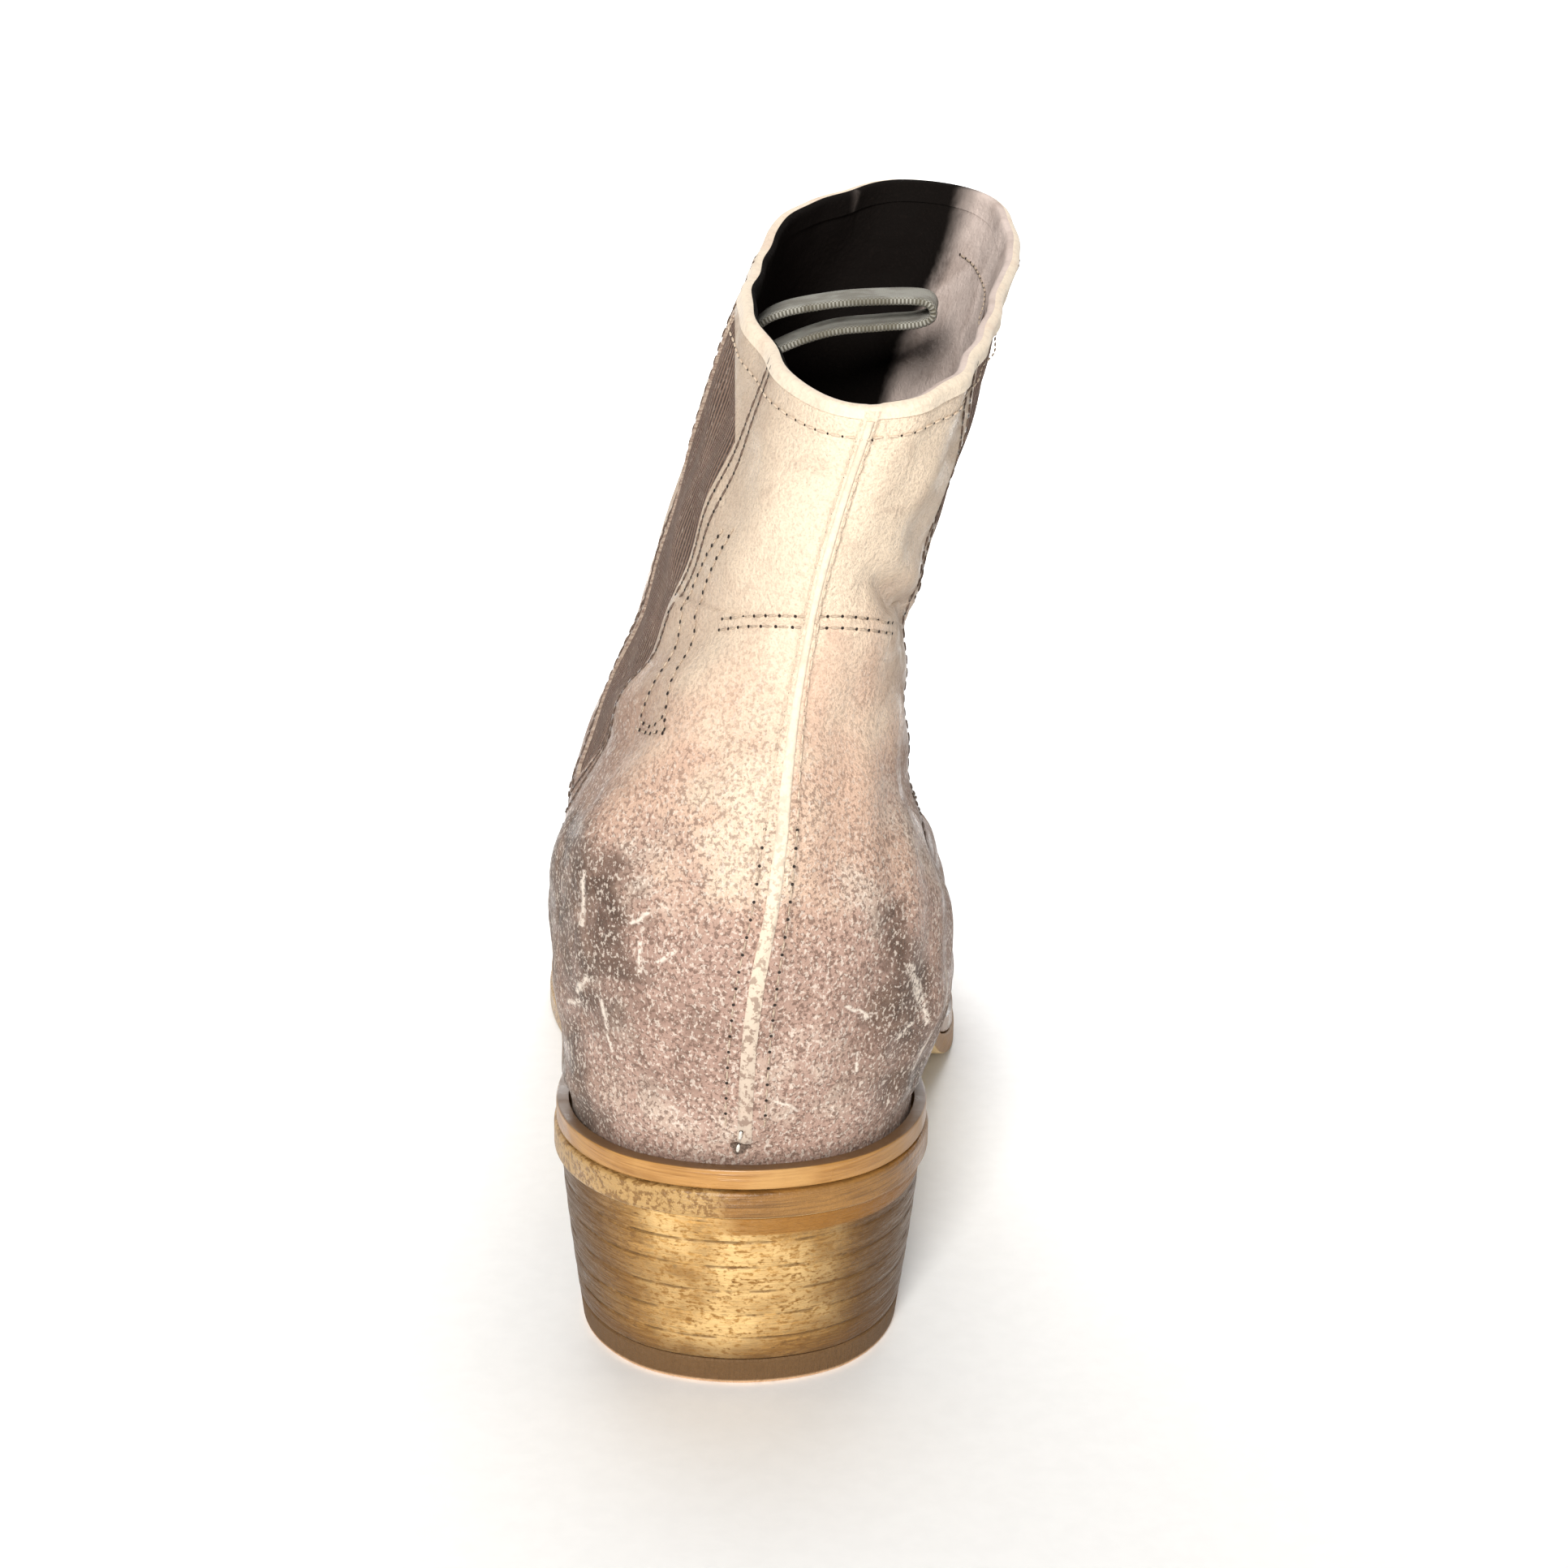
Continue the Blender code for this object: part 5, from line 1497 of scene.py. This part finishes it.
def rounded_rings(setback, low, thick, edge, turn):
    """Rings round the outer edge of a layer of the sole, from its underside to its top."""
    steps = [(edge * (1 - math.sin(a)), edge * (1 - math.cos(a))) for a in EDGE_ROUND]
    steps += [(inset, thick - rise) for inset, rise in steps[::-1]]
    return [lifted(sole_outline(turn, setback + inset), lambda y, r=rise: low(y) + r)
            for inset, rise in steps]


sole_turns = fine_turns(300)
outsole = slab("outsole_leather",
               rounded_rings(0.0, sole_bottom, OUTSOLE_THICK, SOLE_EDGE, sole_turns),
               [SOLE_LEATHER], 60.0, across_cap)
worn(outsole, "sole_leather", "outsole")


def level_above_sole(turn, height):
    """Level at which the upper's face stands some height above the outsole."""
    levels = np.linspace(0.0, 0.2, 41)
    points = upper_base(np.asarray(turn)[None, :], levels[:, None])
    rise = points[..., 2] - sole_top(points[..., 1])
    return np.array([np.interp(height, rise[:, i], levels) for i in range(len(turn))])


def welt_inside(height):
    """Inner edge of the welt at some height above the outsole."""
    plan = upper_skin(sole_turns, level_above_sole(sole_turns, height), -WELT_CLEARANCE)[:, :2]
    return lifted(plan, lambda y: sole_top(y) + height)


welt_rings = rounded_rings(WELT_SETBACK, lambda y: sole_top(y) + GAP, WELT_HEIGHT, WELT_EDGE,
                           sole_turns)
welt_rings += [welt_inside(GAP + WELT_HEIGHT), welt_inside(GAP)]
worn(hoop("welt_band", welt_rings, [WELT_LEATHER], 60.0), "welt_leather", "welt")

# %% Stacked heel and its wearing lift


def heel_plan(drop, inset=0.0, steps=90, across=24):
    """Plan of the heel at drop, 0 at the seat and 1 at the floor."""
    breast = math.acos(1 - 2 * BREAST_AT)
    outer = np.linspace(0.0, breast - BREAST_SKEW / 2, steps)
    inner = np.linspace(0.0, breast + BREAST_SKEW / 2, steps)[:0:-1]
    plan = sole_outline(np.concatenate([outer, -inner]), HEEL_SETBACK)
    half = (plan[:, 0].max() - plan[:, 0].min()) / 2
    share = drop**HEEL_CURVE
    length = plan[:, 1].max() - plan[:, 1].min()
    plan[:, 0] *= 1 + share * (HEEL_FOOT_WIDTH / 2 / half - 1) - inset / half
    plan[:, 1] = BACK + HEEL_SETBACK + (plan[:, 1] - BACK - HEEL_SETBACK) * (
        1 + share * (HEEL_FOOT_LENGTH / length - 1) - 2 * inset / length)
    plan[:, 1] += share * (HEEL_BACK_SLOPE - HEEL_SETBACK) + inset
    breast_line = np.linspace(plan[steps - 1], plan[steps], across + 2)[1:-1]
    return np.vstack([plan[:steps], breast_line, plan[steps:]])


def heel_rings(shares_and_insets):
    """Rings of the heel at shares of its height."""
    rings = []
    for share, inset in shares_and_insets:
        plan = heel_plan(1 - share, inset)
        tilt = np.clip((share - LIFT_FLAT) / (1 - LIFT_FLAT), 0.0, 1.0)
        z = share * HEEL_HEIGHT + tilt * (sole_bottom(plan[:, 1]) - HEEL_HEIGHT)
        rings.append(np.column_stack([plan, z]))
    return rings


def heel_piece(name, shares_and_insets, finish):
    """Heel layer with flat caps, and each point's share of the height as an attribute."""
    rings = heel_rings(shares_and_insets)
    piece = slab(name, rings, [finish], 50.0)
    attribute = piece.data.attributes.new("lift", "FLOAT", "POINT")
    shares = np.repeat([share for share, _ in shares_and_insets], len(rings[0]))
    attribute.data.foreach_set("value", shares.astype(np.float32))
    return piece


lift_gap = GAP / HEEL_HEIGHT
GROOVE, STACK_EDGE, LIFT_EDGE = 0.00016, 0.0003, 0.0006
BULGE = ((0.10, 0.0), (0.35, -0.3), (0.65, -0.3), (0.90, 0.0))
stack_profile = [(LIFT_FLAT + lift_gap, STACK_EDGE)]
for i in range(HEEL_LIFTS):
    low = LIFT_FLAT + i * LIFT_PITCH
    stack_profile += [(low + LIFT_PITCH * share, GROOVE * part) for share, part in BULGE]
    if i < HEEL_LIFTS - 1:
        stack_profile.append((low + LIFT_PITCH, GROOVE))
stack_profile.append((1 - lift_gap, STACK_EDGE))
worn(heel_piece("heel_stack", stack_profile, STACKED_LEATHER), "stacked_leather",
     *[f"heel_lift_{i + 1}" for i in range(HEEL_LIFTS)])

lift_profile = [(LIFT_EDGE / HEEL_HEIGHT * (1 - math.cos(a)), LIFT_EDGE * (1 - math.sin(a)))
                for a in EDGE_ROUND]
lift_profile += [(LIFT_FLAT - LIFT_EDGE / HEEL_HEIGHT * 0.5, 0.0), (LIFT_FLAT, STACK_EDGE)]
worn(heel_piece("top_lift", lift_profile, TOP_LIFT_RUBBER), "top_lift_rubber",
     "heel_top_lift")

# %% [markdown]
# The wearing lift is nailed on from below. The eight small heads stand in a loose horseshoe,
# flush with the rubber: again one shape that Geometry Nodes repeat, this time on single
# points.

# %% Nails of the wearing lift
NAIL_RADIUS, NAIL_DOME = 0.0005, 0.00005
# places on the heel's underside, in millimetres
NAIL_PLACES = [(13, 22), (17, -2), (11, -16), (-6, -18), (-12, -16), (-14, -8), (-16, 7),
               (-20, 16)]


def nail_tree():
    """Geometry Nodes: one nail head on every point."""
    tree, given = node_tree("nail_heads", "GeometryNodeTree", [
        ("Places", "Geometry"), ("Radius", "Float"), ("Metal", "Material")],
        ("Heads", "Geometry"))
    node = partial(add_node, tree)
    points = node("GeometryNodeMeshToPoints", {"Mesh": given["Places"]}).outputs[0]
    head = node("GeometryNodeMeshUVSphere", {"Segments": 14, "Rings": 6, "Radius": 1.0})
    size = node("ShaderNodeCombineXYZ", {0: given["Radius"], 1: given["Radius"],
                                         2: NAIL_DOME})
    flat = node("GeometryNodeTransform", {"Geometry": head.outputs[0],
                                          "Scale": size.outputs[0]})
    placed = node("GeometryNodeInstanceOnPoints", {"Points": points,
                                                   "Instance": flat.outputs[0]})
    real = node("GeometryNodeRealizeInstances", {0: placed.outputs[0]})
    dressed = node("GeometryNodeSetMaterial", {"Geometry": real.outputs[0],
                                               "Material": given["Metal"]})
    node("NodeGroupOutput", {0: dressed.outputs[0]})
    return tree


def heel_nails():
    metal = Finish("nail_steel", roughness=0.5, specular=0.5)
    metal.finish((0.16, 0.10, 0.06), Metallic=0.5)
    mesh = bpy.data.meshes.new("nail_places")
    mesh.from_pydata([(x / 1000, y / 1000, 0.0) for x, y in NAIL_PLACES], [], [])
    values = {"Radius": NAIL_RADIUS, "Metal": metal.material}
    worn(grown("heel_nails", mesh, nail_tree(), values), "top_lift_rubber")


heel_nails()

# %% [markdown]
# ## Pull loop
# Inside the collar a doubled webbing loop is sewn to the wall. Webbing is woven, so it has
# fine ribs along and across, from a UV map along the strip, and it folds with round bends.

# %% Webbing and the loop


def webbing_finish():
    webbing = Finish("loop_webbing", roughness=0.8, specular=0.25)
    knit = webbing.both(*webbing.weave())
    soil = webbing.noise(0.006, 3.0, 0.6)
    # Painted shade: the light grey webbing gets darker grey colours, as it lies in the shade inside
    # the collar.
    colour = webbing.mix(webbing.above(knit, -0.6, 0.6), (0.150, 0.138, 0.108),
                         (0.47, 0.455, 0.395))
    colour = webbing.mix(webbing.above(soil, 0.42, 0.62, 0.6), colour, (0.115, 0.098, 0.062))
    webbing.relief((knit, 0.0001), (soil, 0.0003))
    return webbing.finish(colour, Sheen_Weight=0.15)


WEBBING = webbing_finish()
WEBBING_PITCH, LOOP_SEAT_LONG = 0.00062, 0.08


def pull_loop():
    turn = np.array([2 * math.pi - LOOP_TURN])
    depth = WALL + GAP + LOOP_SEAT_HOLLOW + LOOP_THICK / 2
    seat, below = (upper_base(turn, level)[0] - upper_normal(turn, level)[0] * depth
                   for level in (LOOP_LEVEL, LOOP_LEVEL - LOOP_SEAT_LONG))
    rise = (seat - below) / np.linalg.norm(seat - below)
    inward = -upper_normal(turn, LOOP_LEVEL)[0]
    width = np.cross(inward, rise)
    width /= np.linalg.norm(width)
    inward = np.cross(rise, width)
    bends = smooth(np.linspace(0, len(LOOP_PATH) - 1, 9 * len(LOOP_PATH)),
                   np.arange(len(LOOP_PATH)), np.array(LOOP_PATH) * LOOP_REACH)
    path = seat + bends[:, :1] * inward + bends[:, 1:] * rise
    along = np.gradient(path, axis=0)
    run = np.concatenate([[0.0], np.cumsum(np.linalg.norm(np.diff(path, axis=0), axis=1))])
    along /= np.linalg.norm(along, axis=1, keepdims=True)
    over = np.cross(width, along)
    section = [(-1.0, 0.0), (-0.97, -0.7), (-0.88, -1.0), (-0.5, -0.92), (0.0, -0.88),
               (0.5, -0.92), (0.88, -1.0), (0.97, -0.7), (1.0, 0.0), (0.97, 0.7), (0.88, 1.0),
               (0.5, 0.92), (0.0, 0.88), (-0.5, 0.92), (-0.88, 1.0), (-0.97, 0.7)]
    rings = np.stack([path + width * w * LOOP_WIDTH / 2 + over * t * LOOP_THICK / 2
                      for w, t in section], axis=1)
    loop = slab("webbing_loop", rings, [WEBBING], 60.0)
    weave = loop.data.uv_layers.new(name="weave")
    for corner, data in zip(loop.data.loops, weave.data):
        ring, at = divmod(corner.vertex_index, len(section))
        data.uv = (section[at][0] * LOOP_WIDTH / 2 / WEBBING_PITCH, run[ring] / WEBBING_PITCH)
    return worn(loop, "loop_webbing", "pull_loop")


pull_loop()

# %% [markdown]
# The insole is the one solid whose own shape is right as it is: a flat sock of leather deep
# inside. It only needs the lining's finish.

# %% Insole
# Deep in the boot the lining's finish paints the insole near black, as shadow.
insole = nodes["insole"]
insole.data.materials.clear()
insole.data.materials.append(LINING)

# %% [markdown]
# ## The floor
# A plain pale floor takes the contact shadow. Far behind the boot it sweeps up like a sheet
# of studio paper, so no horizon shows.

# %% Floor


def floor_finish():
    paper = Finish("floor_paper", roughness=0.8, specular=0.2)
    tooth = paper.noise(0.004, 3.0, 0.6)
    paper.relief((tooth, 0.00005))
    return paper.finish(paper.mix(paper.above(tooth, 0.3, 0.7), (0.90, 0.90, 0.89),
                                  (0.88, 0.88, 0.87)))


FLOOR_HALF, FLOOR_NEAR, SWEEP_START, SWEEP_RADIUS, FLOOR_RISE = 4.0, -3.0, 1.6, 1.0, 3.0
sweep = [(FLOOR_NEAR, 0.0)]
sweep += [(SWEEP_START + SWEEP_RADIUS * math.sin(a), SWEEP_RADIUS * (1 - math.cos(a)))
          for a in np.linspace(0.0, math.pi / 2, 24)]
sweep += [(SWEEP_START + SWEEP_RADIUS, FLOOR_RISE)]
floor_points = [(x, y, z) for y, z in sweep for x in (-FLOOR_HALF, FLOOR_HALF)]
floor = solid("studio_floor", floor_points,
              [(2 * i, 2 * i + 1, 2 * i + 3, 2 * i + 2) for i in range(len(sweep) - 1)],
              [floor_finish()], outward=False)
